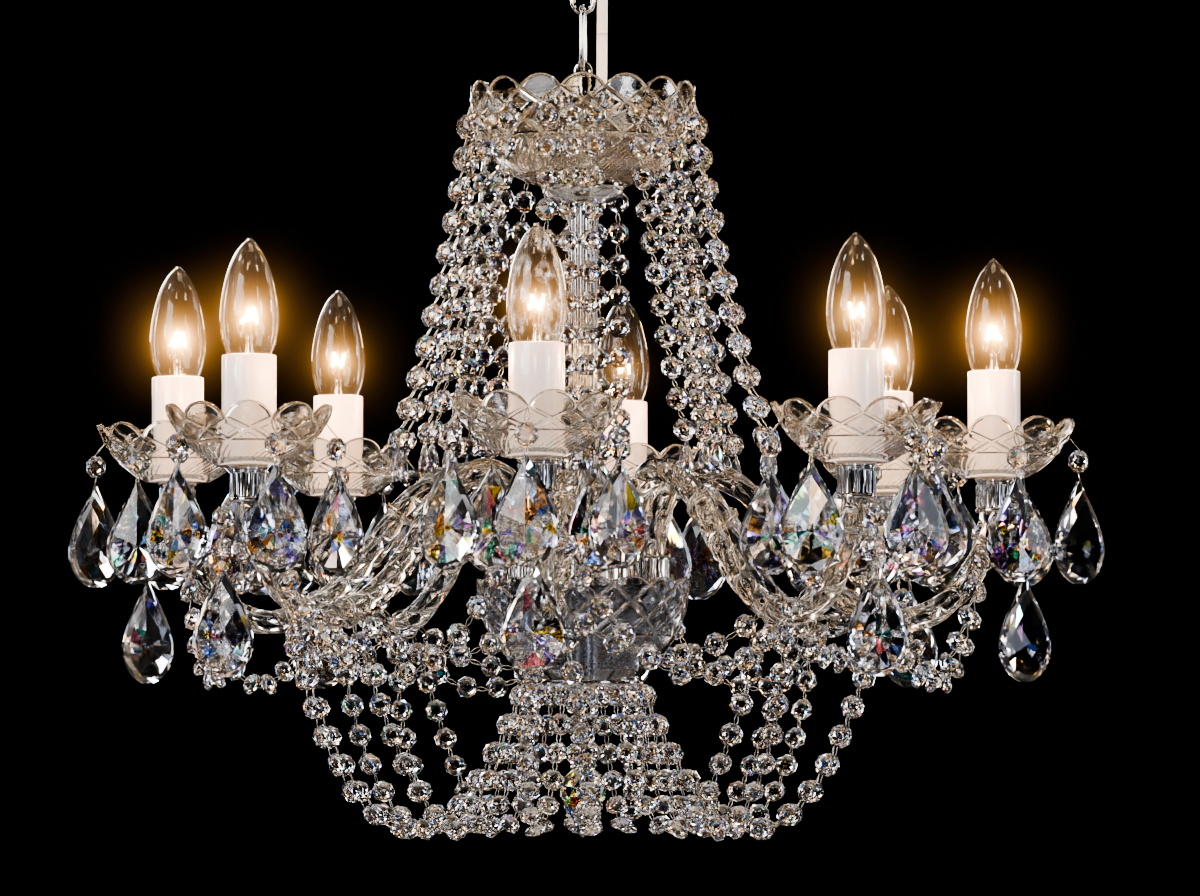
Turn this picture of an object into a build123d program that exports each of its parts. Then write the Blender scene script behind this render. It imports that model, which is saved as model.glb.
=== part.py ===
from build123d import *

import os
from math import cos, pi, radians, sin, sqrt

# A crystal chandelier that hangs by a short chain from a ceiling hook.
# Millimetres. The origin is the middle of the ceiling face, +Z is up, and everything hangs below it.

# Driving sizes
arm_count = 8
lamp_radius = 251.0  # lamp axis to stem axis
plain_gap = 0.3  # between pieces that only lie beside each other
hang_gap = 0.25  # between a ring and what hangs in it

# Ceiling fitting
bracket_length = 88.0
bracket_width = 18.0
bracket_thickness = 2.5
screw_pitch = 66.0
screw_hole_radius = 2.3
canopy_radius = 52.0
canopy_depth = 30.0
canopy_flat_radius = 25.0
canopy_wall = 1.5
canopy_lip = 7.0
hook_shank_radius = 3.0
hook_collar_radius = 7.0
hook_collar_height = 4.0
hook_ring_radius = 7.0
cable_x = 12.0
cable_width = 6.8
cable_depth = 3.2
cable_hole_radius = 3.9
gland_radius = 4.5
gland_height = 7.0

# Chain
chain_wire = 3.4
wire_sides = 8
link_height = 42.0
link_width = 16.0
hook_drop = 32.0  # from the canopy's underside to the wire at the foot of the hook's ring

# Stem
eye_wire = 2.8
eye_ring_radius = 4.6
eye_collar_radius = 6.0
eye_drop = 18.1  # from the foot of the last link's wire to the cap on the stem
stem_cap_radius = 16.5
stem_cap_height = 30.0
stem_cap_rim = 6.0
stem_cap_flare = 3.0
stem_length = 301.0  # from the top of its cap to the arm plate
stem_radius = 9.0
stem_bore_radius = 5.0
stem_flutes = 12
stem_flute_depth = 1.2
plate_radius = 55.0
plate_thickness = 4.0
hub_radius = 9.0

nut_radius = 10.0
nut_taper = 12.0
nut_height = 12.0
nut_stud_radius = 4.0
nut_stud_length = 30.0

# Glass dishes: the one on top, the bowl below, and one at each lamp
top_dish_radius = 69.0
top_dish_base_radius = 30.0
top_dish_depth = 61.0
top_dish_rise = 8.0  # its rim above the stem's cap
top_dish_petals = 16
top_dish_petal_height = 8.0
top_dish_bulge = 14.0
top_dish_turn = 6.0
seat_radius = 26.0
seat_foot_radius = 14.0
seat_edge = 5.0
seat_height = 14.0
bowl_radius = 65.0
bowl_base_radius = 26.0
bowl_depth = 62.0
bowl_rise = 6.0  # its rim above the arm plate
bowl_petals = 16
bowl_petal_height = 5.0
bowl_bulge = 12.0
dish_wall = 4.0
valley_width = 0.86  # the share of the way to a petal's middle that the gap beside it opens
drip_dish_radius = 50.0
drip_dish_base_radius = 19.0
drip_dish_depth = 35.0
drip_dish_rise = 66.0  # its base above the arm plate
drip_dish_petals = 10
drip_dish_petal_height = 9.0
drip_dish_wall = 3.0
drip_dish_bulge = 5.0

# Lamps
sleeve_radius = 16.0
sleeve_wall = 1.2
sleeve_height = 65.0  # its top above the dish's base
socket_radius = 13.5
nipple_radius = 4.7
socket_bore_radius = 7.2
socket_bore_spare = 4.0
socket_drop = 8.0  # its top below the sleeve's
bulb_radius = 17.5
bulb_height = 69.0  # its tip above the sleeve
bulb_belly = 46.0  # below its tip
bulb_neck_radius = 13.0
bulb_neck = 6.5  # above the lamp holder
bulb_lower_bulge = 1.2
bulb_upper_bulge = 4.5
bulb_tip_radius = 2.5
bulb_cap_radius = 6.9
bulb_cap_length = 25.0
bulb_cap_rise = 2.0

# Arms
arm_outer_radius = 8.0
arm_valley_radius = 6.3
arm_lobes = 4
arm_turns = 2.75
arm_spans = 26
cup_radius = 12.0
cup_sides = 12
cup_height = 21.0
cup_floor = 3.0
cup_clearance = 1.4
arm_root_radius = 42.0  # root of an arm to stem axis
arm_middle_radius = 122.0  # where the S turns over, to stem axis
arm_middle_rise = 34.0  # that place above the arm plate
arm_slope = 57.0  # degrees below level there
root_pull = 95.0  # how far each end of the S's two curves draws them on
hump_pull = 50.0
dip_pull = 118.0
end_pull = 0.574  # and at the lamp, as a share of that curve's run

# Strung crystals
bead_radius = 7.25
bead_thickness = 6.4
bead_pitch = 19.6
pin_gap = 0.15
clip_radius = 10.0
clip_width = 3.4
clip_wall = 1.2
hump_clip_radius = 113.0  # clips on an arm, to stem axis
low_clip_radius = 180.0
outer_clip_radius = 246.0
hook_below_petals = 5.0
upper_strand_rise = 85.0  # the feet of the upper strands above the arm plate
upper_strand_spread = 12.0  # degrees between neighbours at the dish
upper_strand_close = 6.0  # and at the arm
upper_strand_lean = 0.42  # the share of the way out that goes evenly with height
upper_strand_bow = 1.8
middle_strand_out = 3.0  # the middle one of three strands, before the others
basket_depth = 146.8  # the lowest of the lower strands below the arm plate
basket_radius = 105.3  # where the lower strands hang lowest
basket_curve = 0.0181
basket_spread = 6.0  # degrees to either side of an arm at its clip
basket_close = 5.25  # and so many more at the ring
basket_ease = 9  # how suddenly a strand's ends leave the basket's curve
inner_swag_sag = 27.0
outer_swag_sag = 86.0
ring_radius = 36.0
ring_wire = 3.0
ring_hub_radius = 13.0

# Drops
pear_height = 63.0
pear_width = 38.0
pear_thickness = 12.0
drops_per_dish = 5
pear_pin = 5.0
drop_circle_radius = 51.0
drop_bead_rise = 10.0  # above the dish's base
drop_hook = 1.0  # below the foot of the petals
low_drop_out = 18.0
low_drop_fall = 61.0  # the top of its glass below the dish's base
end_pear_height = 20.0
end_pear_width = 12.0
pear_hub = 0.62  # the share of its height where a pear is thickest
ball_radius = 14.5
ball_fall = 51.0  # its top below the bowl
ball_height = 45.0
ball_sides = 8
ball_rod_radius = 1.0

# Heights, each hung from the one before
chain_step = chain_wire + hang_gap
link_reach = link_height - chain_wire
chain_top_z = -canopy_depth - hook_drop
link_upper_top_z = chain_top_z + chain_step
link_upper_foot_z = link_upper_top_z - link_reach
link_lower_top_z = link_upper_foot_z + chain_step
link_lower_foot_z = link_lower_top_z - link_reach
stem_cap_top_z = link_lower_foot_z - eye_drop
plate_top_z = stem_cap_top_z - stem_length
top_dish_rim_z = stem_cap_top_z + top_dish_rise
top_dish_base_z = top_dish_rim_z - top_dish_depth
bowl_rim_z = plate_top_z + bowl_rise
bowl_base_z = bowl_rim_z - bowl_depth
drip_dish_base_z = plate_top_z + drip_dish_rise
drip_dish_rim_z = drip_dish_base_z + drip_dish_depth
sleeve_top_z = drip_dish_base_z + sleeve_height
socket_top_z = sleeve_top_z - socket_drop
bulb_tip_z = sleeve_top_z + bulb_height
upper_strand_foot_z = plate_top_z + upper_strand_rise
drop_bead_z = drip_dish_base_z + drop_bead_rise
low_drop_top_z = drip_dish_base_z - low_drop_fall
ring_z = bowl_base_z - plain_gap / 3 - ring_wire
ball_top_z = bowl_base_z - ball_fall
bead_flat = bead_radius * cos(pi / 8)
eye_centre_z = link_lower_foot_z + (chain_wire + eye_wire) / 2 + hang_gap - eye_ring_radius
arm_angles = [-90 + 360 / arm_count * k for k in range(arm_count)]
nodes = {}


def keep(name, shape):
    shape.label = name
    nodes[name] = shape


def ring(radius, angle, z):
    return Vector(radius * cos(radians(angle)), radius * sin(radians(angle)), z)


def group(solids):
    return Compound([solid for shape in solids for solid in shape.solids()])


def turned(shape, angle):
    return shape.rotate(Axis.Z, angle)


def dish_section(rim_radius, base_radius, rim_z, base_z, wall, hole_radius, bulge):
    """Half section of a dish: a flat base with a hole, and a side that curves up to the rim."""
    with BuildSketch() as section:
        with BuildLine():
            foot = Line((hole_radius, base_z), (base_radius, base_z))
            side = SagittaArc(foot @ 1, (rim_radius, rim_z), -bulge)
            rim = Line(side @ 1, (rim_radius - wall, rim_z))
            inside = SagittaArc(rim @ 1, (base_radius - wall / 2, base_z + wall), bulge)
            floor = Line(inside @ 1, (hole_radius, base_z + wall))
            Line(floor @ 1, foot @ 0)
        make_face()
    return section.sketch


def dish_side(rim_radius, base_radius, rim_z, base_z, bulge, z):
    """The outer radius of a dish's curved side at height z."""
    run, rise = rim_radius - base_radius, rim_z - base_z
    chord = sqrt(run**2 + rise**2)
    arc_radius = ((chord / 2) ** 2 + bulge**2) / (2 * bulge)
    centre_x = (rim_radius + base_radius) / 2 - (arc_radius - bulge) * rise / chord
    centre_z = (rim_z + base_z) / 2 + (arc_radius - bulge) * run / chord
    return centre_x + sqrt(arc_radius**2 - (z - centre_z) ** 2)


def petal_valleys(centre_x, radius, rim_z, petals, first_angle):
    """The planes of the valleys between a rim's rounded petals, looking outwards."""
    angles = [first_angle + 360 / petals * k for k in range(petals)]
    starts = [ring(radius / 2, a, rim_z) + Vector(centre_x, 0, 0) for a in angles]
    return [Plane(p, x_dir=ring(1, a + 90, 0), z_dir=ring(1, a, 0)) for p, a in zip(starts, angles)]


def valley_outline(radius, petals, height):
    """The gap between two petals, whose tops are arcs that meet at the valley's foot."""
    half = radius * sin(pi / petals)
    arc_radius = (half**2 + height**2) / (2 * height)
    top = valley_width * half
    middle = top / 2

    def drop(x):
        return sqrt(arc_radius**2 - (half - x) ** 2) - arc_radius

    with BuildSketch() as gap:
        with BuildLine():
            left = ThreePointArc((-top, drop(top)), (-middle, drop(middle)), (0, -height))
            right = ThreePointArc((0, -height), (middle, drop(middle)), (top, drop(top)))
            Polyline(right @ 1, (top, height), (-top, height), left @ 0)
        make_face()
    return gap.sketch


def cut_stone(girdle, hubs):
    """A crystal cut on both sides: flat facets run from its outline to one hub in front and one behind."""
    front, back = hubs
    rim = list(zip(girdle, girdle[1:] + girdle[:1]))
    facets = [Face(Wire.make_polygon([a, b, hub], close=True)) for hub in (front, back) for a, b in rim]
    stone = Solid(Shell(facets))
    return stone if stone.volume > 0 else Solid(stone.wrapped.Reversed())


def octagon_bead(pin, tail=None):
    """An eight-sided bead in the XZ plane. The pin that it hangs by is a point on its outline."""
    corners = [22.5 + 45 * k for k in range(8)]
    girdle = [Vector(bead_radius * cos(radians(c)), 0, bead_radius * sin(radians(c))) for c in corners]
    if tail:
        girdle.insert(6, tail)
    girdle.insert(2, pin)
    half = bead_thickness / 2
    return cut_stone(girdle, (Vector(0, -half, 0), Vector(0, half, 0)))


def pear(height, width, thickness, pin, shoulders):
    """A pear-shaped drop that hangs from its pin, with its glass from the origin down."""
    right = [Vector(width / 2 * w, 0, -height * h) for h, w in shoulders]
    left = [Vector(-p.X, 0, p.Z) for p in reversed(right)]
    girdle = [Vector(0, 0, pin), *right, Vector(0, 0, -height), *left]
    hub_z = -pear_hub * height
    return cut_stone(girdle, (Vector(0, -thickness / 2, hub_z), Vector(0, thickness / 2, hub_z)))


# Ceiling fitting: a bracket screwed to the ceiling, the canopy over it, and the hook through both
with BuildPart() as ceiling_bracket:
    with BuildSketch():
        SlotOverall(bracket_length, bracket_width, rotation=90)
        Circle(hook_shank_radius + plain_gap / 3, mode=Mode.SUBTRACT)
        with GridLocations(0, screw_pitch, 1, 2):
            Circle(screw_hole_radius, mode=Mode.SUBTRACT)
    extrude(amount=-bracket_thickness)
keep("ceiling_bracket", ceiling_bracket.part)

with BuildPart() as ceiling_canopy:
    with BuildSketch(Plane.XZ):
        with BuildLine():
            crown = Line((0, -canopy_depth), (canopy_flat_radius, -canopy_depth))
            dome = TangentArc(crown @ 1, (canopy_radius, -canopy_lip), tangent=(1, 0))
            Polyline(dome @ 1, (canopy_radius, 0), (0, 0), crown @ 0)
        make_face()
    revolve(axis=Axis.Z)
    offset(amount=-canopy_wall, openings=ceiling_canopy.faces().sort_by(Axis.Z)[-1])
    with BuildSketch(Plane.XY.offset(-canopy_depth)):
        Circle(hook_shank_radius + plain_gap)
        with Locations((cable_x, 0)):
            Circle(cable_hole_radius)
    extrude(amount=canopy_depth / 2, mode=Mode.SUBTRACT)
keep("ceiling_canopy", ceiling_canopy.part)

with BuildPart() as canopy_hook:
    hook_ring_z = chain_top_z + hook_ring_radius
    collar_z = -canopy_depth - plain_gap / 3
    with BuildSketch(Plane.XY.offset(collar_z)):
        Circle(hook_collar_radius)
    extrude(amount=-hook_collar_height)
    with BuildSketch(Plane.XY.offset(hook_ring_z + hook_ring_radius)):
        Circle(hook_shank_radius)
    extrude(amount=-hook_ring_z - hook_ring_radius)
    with BuildSketch(Plane.XY.offset(hook_ring_z)):
        with Locations((0, hook_ring_radius)):
            RegularPolygon(chain_wire / 2, wire_sides)
    revolve(axis=Axis((0, 0, hook_ring_z), (1, 0, 0)))
keep("canopy_hook", canopy_hook.part)

with BuildPart() as cable_gland:
    with BuildSketch(Plane.XY.offset(-canopy_depth - gland_height)):
        with Locations((cable_x, 0)):
            Circle(gland_radius)
            Rectangle(cable_width, cable_depth, mode=Mode.SUBTRACT)
    extrude(amount=gland_height - plain_gap / 3)
keep("cable_gland", cable_gland.part)

# Power cable: a flat lead pulled straight from the gland down to the cap on the stem
with BuildPart() as power_cable:
    with BuildSketch(Plane.XY.offset(stem_cap_top_z)):
        with Locations((cable_x, 0)):
            Rectangle(cable_width - 2 * plain_gap / 3, cable_depth - 2 * plain_gap / 3)
    extrude(amount=-stem_cap_top_z - canopy_depth)
keep("power_cable", power_cable.part)


def chain_link(top_z, across):
    """A welded oval link that hangs from its top wire at top_z and lies along the across direction."""
    bend = (link_width - chain_wire) / 2
    straight = link_reach - 2 * bend
    middle = Plane((0, 0, top_z - link_reach / 2), x_dir=across, z_dir=Vector(0, 0, 1).cross(across))
    with BuildPart() as link:
        with BuildLine(middle) as loop:
            right = Line((bend, -straight / 2), (bend, straight / 2))
            top = ThreePointArc(right @ 1, (0, straight / 2 + bend), (-bend, straight / 2))
            left = Line(top @ 1, (-bend, -straight / 2))
            ThreePointArc(left @ 1, (0, -straight / 2 - bend), right @ 0)
        with BuildSketch(Plane(loop.wire() @ 0, z_dir=loop.wire() % 0)):
            RegularPolygon(chain_wire / 2, wire_sides)
        sweep()
    return link.part


keep("chain_link_upper", chain_link(link_upper_top_z, Vector(1, 0, 0)))
keep("chain_link_lower", chain_link(link_lower_top_z, Vector(0, 1, 0)))

# Stem: the eye on its collar, a turned cap, the fluted tube, and the plate that carries the arms
with BuildPart() as stem_eye:
    with BuildSketch(Plane.XY.offset(eye_centre_z)):
        with Locations((eye_ring_radius, 0)):
            RegularPolygon(eye_wire / 2, wire_sides)
    revolve(axis=Axis((0, 0, eye_centre_z), (0, 1, 0)))
    with BuildSketch(Plane.XY.offset(stem_cap_top_z)):
        Circle(eye_collar_radius)
    extrude(amount=eye_centre_z - eye_ring_radius - stem_cap_top_z)
keep("stem_eye", stem_eye.part)

stem_cap_foot_z = stem_cap_top_z - stem_cap_height
stem_top_z = stem_cap_foot_z + stem_cap_height / 2
with BuildPart() as stem_cap:
    with BuildSketch(Plane.XZ):
        with BuildLine():
            foot = Line((0, stem_cap_foot_z), (stem_radius + stem_cap_flare, stem_cap_foot_z))
            flare = SagittaArc(foot @ 1, (stem_cap_radius, stem_cap_top_z - stem_cap_rim), stem_cap_flare)
            Polyline(flare @ 1, (stem_cap_radius, stem_cap_top_z), (0, stem_cap_top_z), foot @ 0)
        make_face()
    revolve(axis=Axis.Z)
    with BuildSketch(Plane.XY.offset(stem_cap_foot_z)):
        Circle(stem_radius + plain_gap / 3)
    extrude(amount=stem_cap_height / 2, mode=Mode.SUBTRACT)
keep("stem_cap", stem_cap.part)

with BuildPart() as stem_tube:
    with BuildSketch(Plane.XY.offset(plate_top_z)):
        with BuildLine():
            rims = [stem_radius - stem_flute_depth * (k % 2) for k in range(2 * stem_flutes)]
            points = [ring(r, 180 / stem_flutes * k, 0) for k, r in enumerate(rims)]
            Polyline(*[(p.X, p.Y) for p in points], close=True)
        make_face()
        Circle(stem_bore_radius, mode=Mode.SUBTRACT)
    extrude(amount=stem_top_z - plate_top_z)
keep("stem_tube", stem_tube.part)

# Top dish, on a turned seat round the stem
with BuildPart() as dish_seat:
    with BuildSketch(Plane.XZ):
        with BuildLine():
            seat_top_z = top_dish_base_z - plain_gap / 3
            Polyline(
                (stem_radius + plain_gap / 3, seat_top_z),
                (seat_radius, seat_top_z),
                (seat_radius, seat_top_z - seat_edge),
                (seat_foot_radius, seat_top_z - seat_height),
                (stem_radius + plain_gap / 3, seat_top_z - seat_height),
                close=True,
            )
        make_face()
    revolve(axis=Axis.Z)
keep("dish_seat", dish_seat.part)

with BuildPart() as top_dish:
    with BuildSketch(Plane.XZ):
        add(
            dish_section(
                top_dish_radius, top_dish_base_radius, top_dish_rim_z, top_dish_base_z, dish_wall,
                stem_radius + plain_gap, top_dish_bulge,
            )
        )
    revolve(axis=Axis.Z)
    first_valley = -90 + top_dish_turn + 180 / top_dish_petals
    with BuildSketch(*petal_valleys(0, top_dish_radius, top_dish_rim_z, top_dish_petals, first_valley)):
        add(valley_outline(top_dish_radius, top_dish_petals, top_dish_petal_height))
    extrude(amount=top_dish_radius, mode=Mode.SUBTRACT)
keep("top_dish", top_dish.part)

# Arm plate, with the bowl hung below it and the ring of the lower strands under the bowl
with BuildPart() as arm_plate:
    with BuildSketch(Plane.XY.offset(plate_top_z - plate_thickness)):
        RegularPolygon(plate_radius, 2 * arm_count)
        Circle(stem_bore_radius, mode=Mode.SUBTRACT)
    extrude(amount=plate_thickness)
    with BuildSketch(Plane.XY.offset(bowl_base_z)):
        Circle(hub_radius)
        Circle(stem_bore_radius, mode=Mode.SUBTRACT)
    extrude(amount=plate_top_z - plate_thickness - bowl_base_z)
keep("arm_plate", arm_plate.part)

with BuildPart() as lower_bowl:
    with BuildSketch(Plane.XZ):
        add(
            dish_section(
                bowl_radius, bowl_base_radius, bowl_rim_z, bowl_base_z, dish_wall,
                stem_radius + plain_gap, bowl_bulge,
            )
        )
    revolve(axis=Axis.Z)
    with BuildSketch(*petal_valleys(0, bowl_radius, bowl_rim_z, bowl_petals, -90)):
        add(valley_outline(bowl_radius, bowl_petals, bowl_petal_height))
    extrude(amount=bowl_radius, mode=Mode.SUBTRACT)
keep("lower_bowl", lower_bowl.part)

with BuildPart() as strand_ring:
    with BuildSketch(Plane.XY.offset(ring_z)):
        RegularPolygon(ring_radius + ring_wire / 2, 2 * arm_count)
        RegularPolygon(ring_radius - ring_wire / 2, 2 * arm_count, mode=Mode.SUBTRACT)
        with PolarLocations(0, arm_count // 2):
            with Locations(((ring_radius + ring_hub_radius) / 2, 0)):
                Rectangle(ring_radius - ring_hub_radius + ring_wire / 2, ring_wire)
        Circle(ring_hub_radius)
        Circle(nut_stud_radius + plain_gap / 3, mode=Mode.SUBTRACT)
    extrude(amount=ring_wire)
keep("strand_ring", strand_ring.part)

with BuildPart() as bottom_nut:
    nut_top_z = ring_z - plain_gap / 3
    with BuildSketch(Plane.XY.offset(nut_top_z)):
        Circle(nut_radius)
    extrude(amount=-nut_height, taper=nut_taper)
    with BuildSketch(Plane.XY.offset(nut_top_z)):
        Circle(nut_stud_radius)
    extrude(amount=nut_stud_length)
    with BuildSketch(Plane.XY.offset(nut_top_z - nut_height)):
        Circle(ball_rod_radius)
    extrude(amount=ball_top_z + plain_gap - nut_top_z + nut_height)
keep("bottom_nut", bottom_nut.part)

# Arms: a rope of glass, lofted along an S through turned, lobed sections
arm_root_z = plate_top_z + cup_floor + plain_gap / 3
arm_end_z = drip_dish_base_z - cup_floor - plain_gap / 3
root, end = (arm_root_radius, arm_root_z), (lamp_radius, arm_end_z)
middle = (arm_middle_radius, plate_top_z + arm_middle_rise)
slope = (cos(radians(arm_slope)), -sin(radians(arm_slope)))
with BuildLine(Plane.XZ) as arm_line:
    hump_in = (root[0], root[1] + root_pull)
    hump_out = (middle[0] - hump_pull * slope[0], middle[1] - hump_pull * slope[1])
    dip_in = (middle[0] + dip_pull * slope[0], middle[1] + dip_pull * slope[1])
    Bezier(root, hump_in, hump_out, middle)
    Bezier(middle, dip_in, (end[0], end[1] - end_pull * (end[0] - middle[0])), end)
arm_path = arm_line.wire()

with BuildPart() as glass_arm:
    for span in range(arm_spans + 1):
        share = span / arm_spans
        section = Plane(arm_path @ share, x_dir=(0, 1, 0), z_dir=arm_path % share)
        with BuildSketch(section):
            with BuildLine():
                corners = []
                for k in range(2 * arm_lobes):
                    radius = arm_outer_radius if k % 2 == 0 else arm_valley_radius
                    corner = ring(radius, 180 / arm_lobes * k + 360 * arm_turns * share, 0)
                    corners.append((corner.X, corner.Y))
                Polyline(*corners, close=True)
            make_face()
    loft(ruled=True)

with BuildPart() as root_cup:
    with BuildSketch(Plane.XY.offset(plate_top_z)):
        with Locations((arm_root_radius, 0)):
            RegularPolygon(cup_radius, cup_sides)
    extrude(amount=cup_height)
    with BuildSketch(Plane.XY.offset(plate_top_z + cup_height)):
        with Locations((arm_root_radius, 0)):
            RegularPolygon(arm_outer_radius + cup_clearance, 2 * arm_lobes)
    extrude(amount=cup_floor - cup_height, mode=Mode.SUBTRACT)

with BuildPart() as end_cup:
    with BuildSketch(Plane.XY.offset(drip_dish_base_z)):
        with Locations((lamp_radius, 0)):
            RegularPolygon(cup_radius, cup_sides)
    extrude(amount=-cup_height)
    with BuildSketch(Plane.XY.offset(drip_dish_base_z - cup_height)):
        with Locations((lamp_radius, 0)):
            RegularPolygon(arm_outer_radius + cup_clearance, 2 * arm_lobes)
    extrude(amount=cup_height - cup_floor, mode=Mode.SUBTRACT)
    with BuildSketch(Plane.XY.offset(drip_dish_base_z)):
        with Locations((lamp_radius, 0)):
            Circle(nipple_radius)
    extrude(amount=drip_dish_wall)

for number, angle in enumerate(arm_angles, 1):
    keep(f"glass_arm_{number}", turned(glass_arm.part, angle))
keep("arm_root_cups", group([turned(root_cup.part, a) for a in arm_angles]))
keep("arm_end_cups", group([turned(end_cup.part, a) for a in arm_angles]))

# Lamps: drip dish, candle sleeve, lamp holder and bulb, each made once on its own axis at X = lamp_radius
lamp_axis = Axis((lamp_radius, 0, 0), (0, 0, 1))
lamp_plane = Plane((lamp_radius, 0, 0), x_dir=(1, 0, 0), z_dir=(0, -1, 0))
holder_foot_z = drip_dish_base_z + drip_dish_wall + plain_gap / 3

with BuildPart() as drip_dish:
    with BuildSketch(lamp_plane):
        add(
            dish_section(
                drip_dish_radius, drip_dish_base_radius, drip_dish_rim_z, drip_dish_base_z,
                drip_dish_wall, nipple_radius + plain_gap, drip_dish_bulge,
            )
        )
    revolve(axis=lamp_axis)
    with BuildSketch(*petal_valleys(lamp_radius, drip_dish_radius, drip_dish_rim_z, drip_dish_petals, 0)):
        add(valley_outline(drip_dish_radius, drip_dish_petals, drip_dish_petal_height))
    extrude(amount=drip_dish_radius, mode=Mode.SUBTRACT)

with BuildPart() as candle_sleeve:
    with BuildSketch(Plane.XY.offset(holder_foot_z)):
        with Locations((lamp_radius, 0)):
            Circle(sleeve_radius)
            Circle(sleeve_radius - sleeve_wall, mode=Mode.SUBTRACT)
    extrude(amount=sleeve_top_z - holder_foot_z)

with BuildPart() as lamp_holder:
    with BuildSketch(Plane.XY.offset(holder_foot_z)):
        with Locations((lamp_radius, 0)):
            Circle(socket_radius)
    extrude(amount=socket_top_z - holder_foot_z)
    with BuildSketch(Plane.XY.offset(socket_top_z)):
        with Locations((lamp_radius, 0)):
            Circle(socket_bore_radius)
    extrude(amount=-bulb_cap_length - socket_bore_spare, mode=Mode.SUBTRACT)

with BuildPart() as bulb:
    with BuildSketch(lamp_plane):
        with BuildLine():
            cap_foot = socket_top_z - bulb_cap_length
            cap_top = socket_top_z + bulb_cap_rise
            cap = Polyline((0, cap_foot), (bulb_cap_radius, cap_foot), (bulb_cap_radius, cap_top))
            shoulder = Line(cap @ 1, (bulb_neck_radius, socket_top_z + bulb_neck))
            lower = SagittaArc(shoulder @ 1, (bulb_radius, bulb_tip_z - bulb_belly), -bulb_lower_bulge)
            upper = SagittaArc(lower @ 1, (bulb_tip_radius, bulb_tip_z), -bulb_upper_bulge)
            Polyline(upper @ 1, (0, bulb_tip_z), (0, cap_foot))
        make_face()
    revolve(axis=lamp_axis)

for number, angle in enumerate(arm_angles, 1):
    keep(f"bobeche_{number}", turned(drip_dish.part, angle))
for number, angle in enumerate(arm_angles, 1):
    keep(f"bulb_{number}", turned(bulb.part, angle))
keep("candle_sleeves", group([turned(candle_sleeve.part, a) for a in arm_angles]))
keep("lamp_holders", group([turned(lamp_holder.part, a) for a in arm_angles]))


# Strung crystals: octagon beads at an even pitch, each with the pin that it hangs by
def strung(curve, tailed=False):
    """Beads from a curve's start to its end, square to its run and facing away from the stem."""
    steps = 400
    points = [curve(k / steps) for k in range(steps + 1)]
    lengths = [0.0]
    for a, b in zip(points, points[1:]):
        lengths.append(lengths[-1] + (b - a).length)
    count = round(lengths[-1] / bead_pitch) - int(tailed)
    pitch = (lengths[-1] + 2 * bead_flat) / (count + 1) if tailed else lengths[-1] / count
    hook = points[0]
    beads = []
    for k in range(count):
        want = pitch * (k + 1) - bead_flat
        index = sum(1 for run in lengths if run < want)
        down = (points[index] - points[index - 1]).normalized()
        centre = points[index] - down * (lengths[index] - want)
        side = Vector(centre.X, centre.Y, 0).cross(down).normalized()
        place = Plane(centre, x_dir=side, z_dir=down * -1)
        tail = place.to_local_coords(points[-1]) if tailed and k == count - 1 else None
        beads.append(octagon_bead(place.to_local_coords(hook), tail).moved(Location(place)))
        hook = centre + down * (bead_flat + pin_gap)
    return beads


def clip_plane(radius):
    """Square to an arm where it is that far from the stem, with X to the arm's left."""
    shares = [k / 400 for k in range(401)]
    share = min(shares, key=lambda s: abs((arm_path @ s).X - radius))
    return Plane(arm_path @ share, x_dir=(0, 1, 0), z_dir=arm_path % share)


def clip_point(radius, side, angle):
    """A point on a clip's rim, that many degrees below its side."""
    reach = clip_radius * cos(pi / 8) + pin_gap
    middle = clip_plane(radius).origin
    return middle + Vector(0, side * reach * cos(radians(angle)), -reach * sin(radians(angle)))


def upper_strand(side):
    """From the top dish down to an arm's hump, ever further out."""
    drop = upper_hook_z - upper_strand_foot_z
    out = hump_clip_radius - upper_hook_radius
    middle_out = 0 if side else middle_strand_out
    closing = upper_strand_spread - upper_strand_close

    def curve(t):
        bowed = upper_strand_lean * t + (1 - upper_strand_lean) * t**upper_strand_bow
        radius = upper_hook_radius + out * bowed + middle_out * t
        return ring(radius, side * (upper_strand_spread - closing * t), upper_hook_z - drop * t)

    return curve


def lower_strand(side):
    """From under an arm in to the ring below the bowl, as the hanging basket of crystals."""
    start = clip_point(low_clip_radius, side, 45)
    end_radius = (ring_radius + ring_wire / 2) * cos(pi / (2 * arm_count))

    def basket(t):
        radius = low_clip_radius - (low_clip_radius - end_radius) * t
        height = basket_curve * (radius - basket_radius) ** 2
        return ring(radius, side * (basket_spread + basket_close * t), plate_top_z - basket_depth + height)

    lead = start - basket(0)
    end = ring(end_radius, side * (basket_spread + basket_close), ring_z - pin_gap) - basket(1)
    return lambda t: basket(t) + lead * (1 - t) ** basket_ease + end * t**basket_ease


def swag(radius, sag):
    """From a clip to the same clip on the next arm, hanging in between."""
    start = clip_point(radius, 1, 0)
    end = clip_point(radius, -1, 0).rotate(Axis.Z, 360 / arm_count)
    return lambda t: start + (end - start) * t - Vector(0, 0, 4 * sag * t * (1 - t))


with BuildPart() as clips:
    for radius in (hump_clip_radius, low_clip_radius, outer_clip_radius):
        with BuildSketch(clip_plane(radius)):
            RegularPolygon(clip_radius, 8, rotation=22.5)
            RegularPolygon(clip_radius - clip_wall, 8, rotation=22.5, mode=Mode.SUBTRACT)
        extrude(amount=clip_width / 2, both=True)
keep("strand_clips", group([turned(clips.part, a) for a in arm_angles]))

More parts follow.
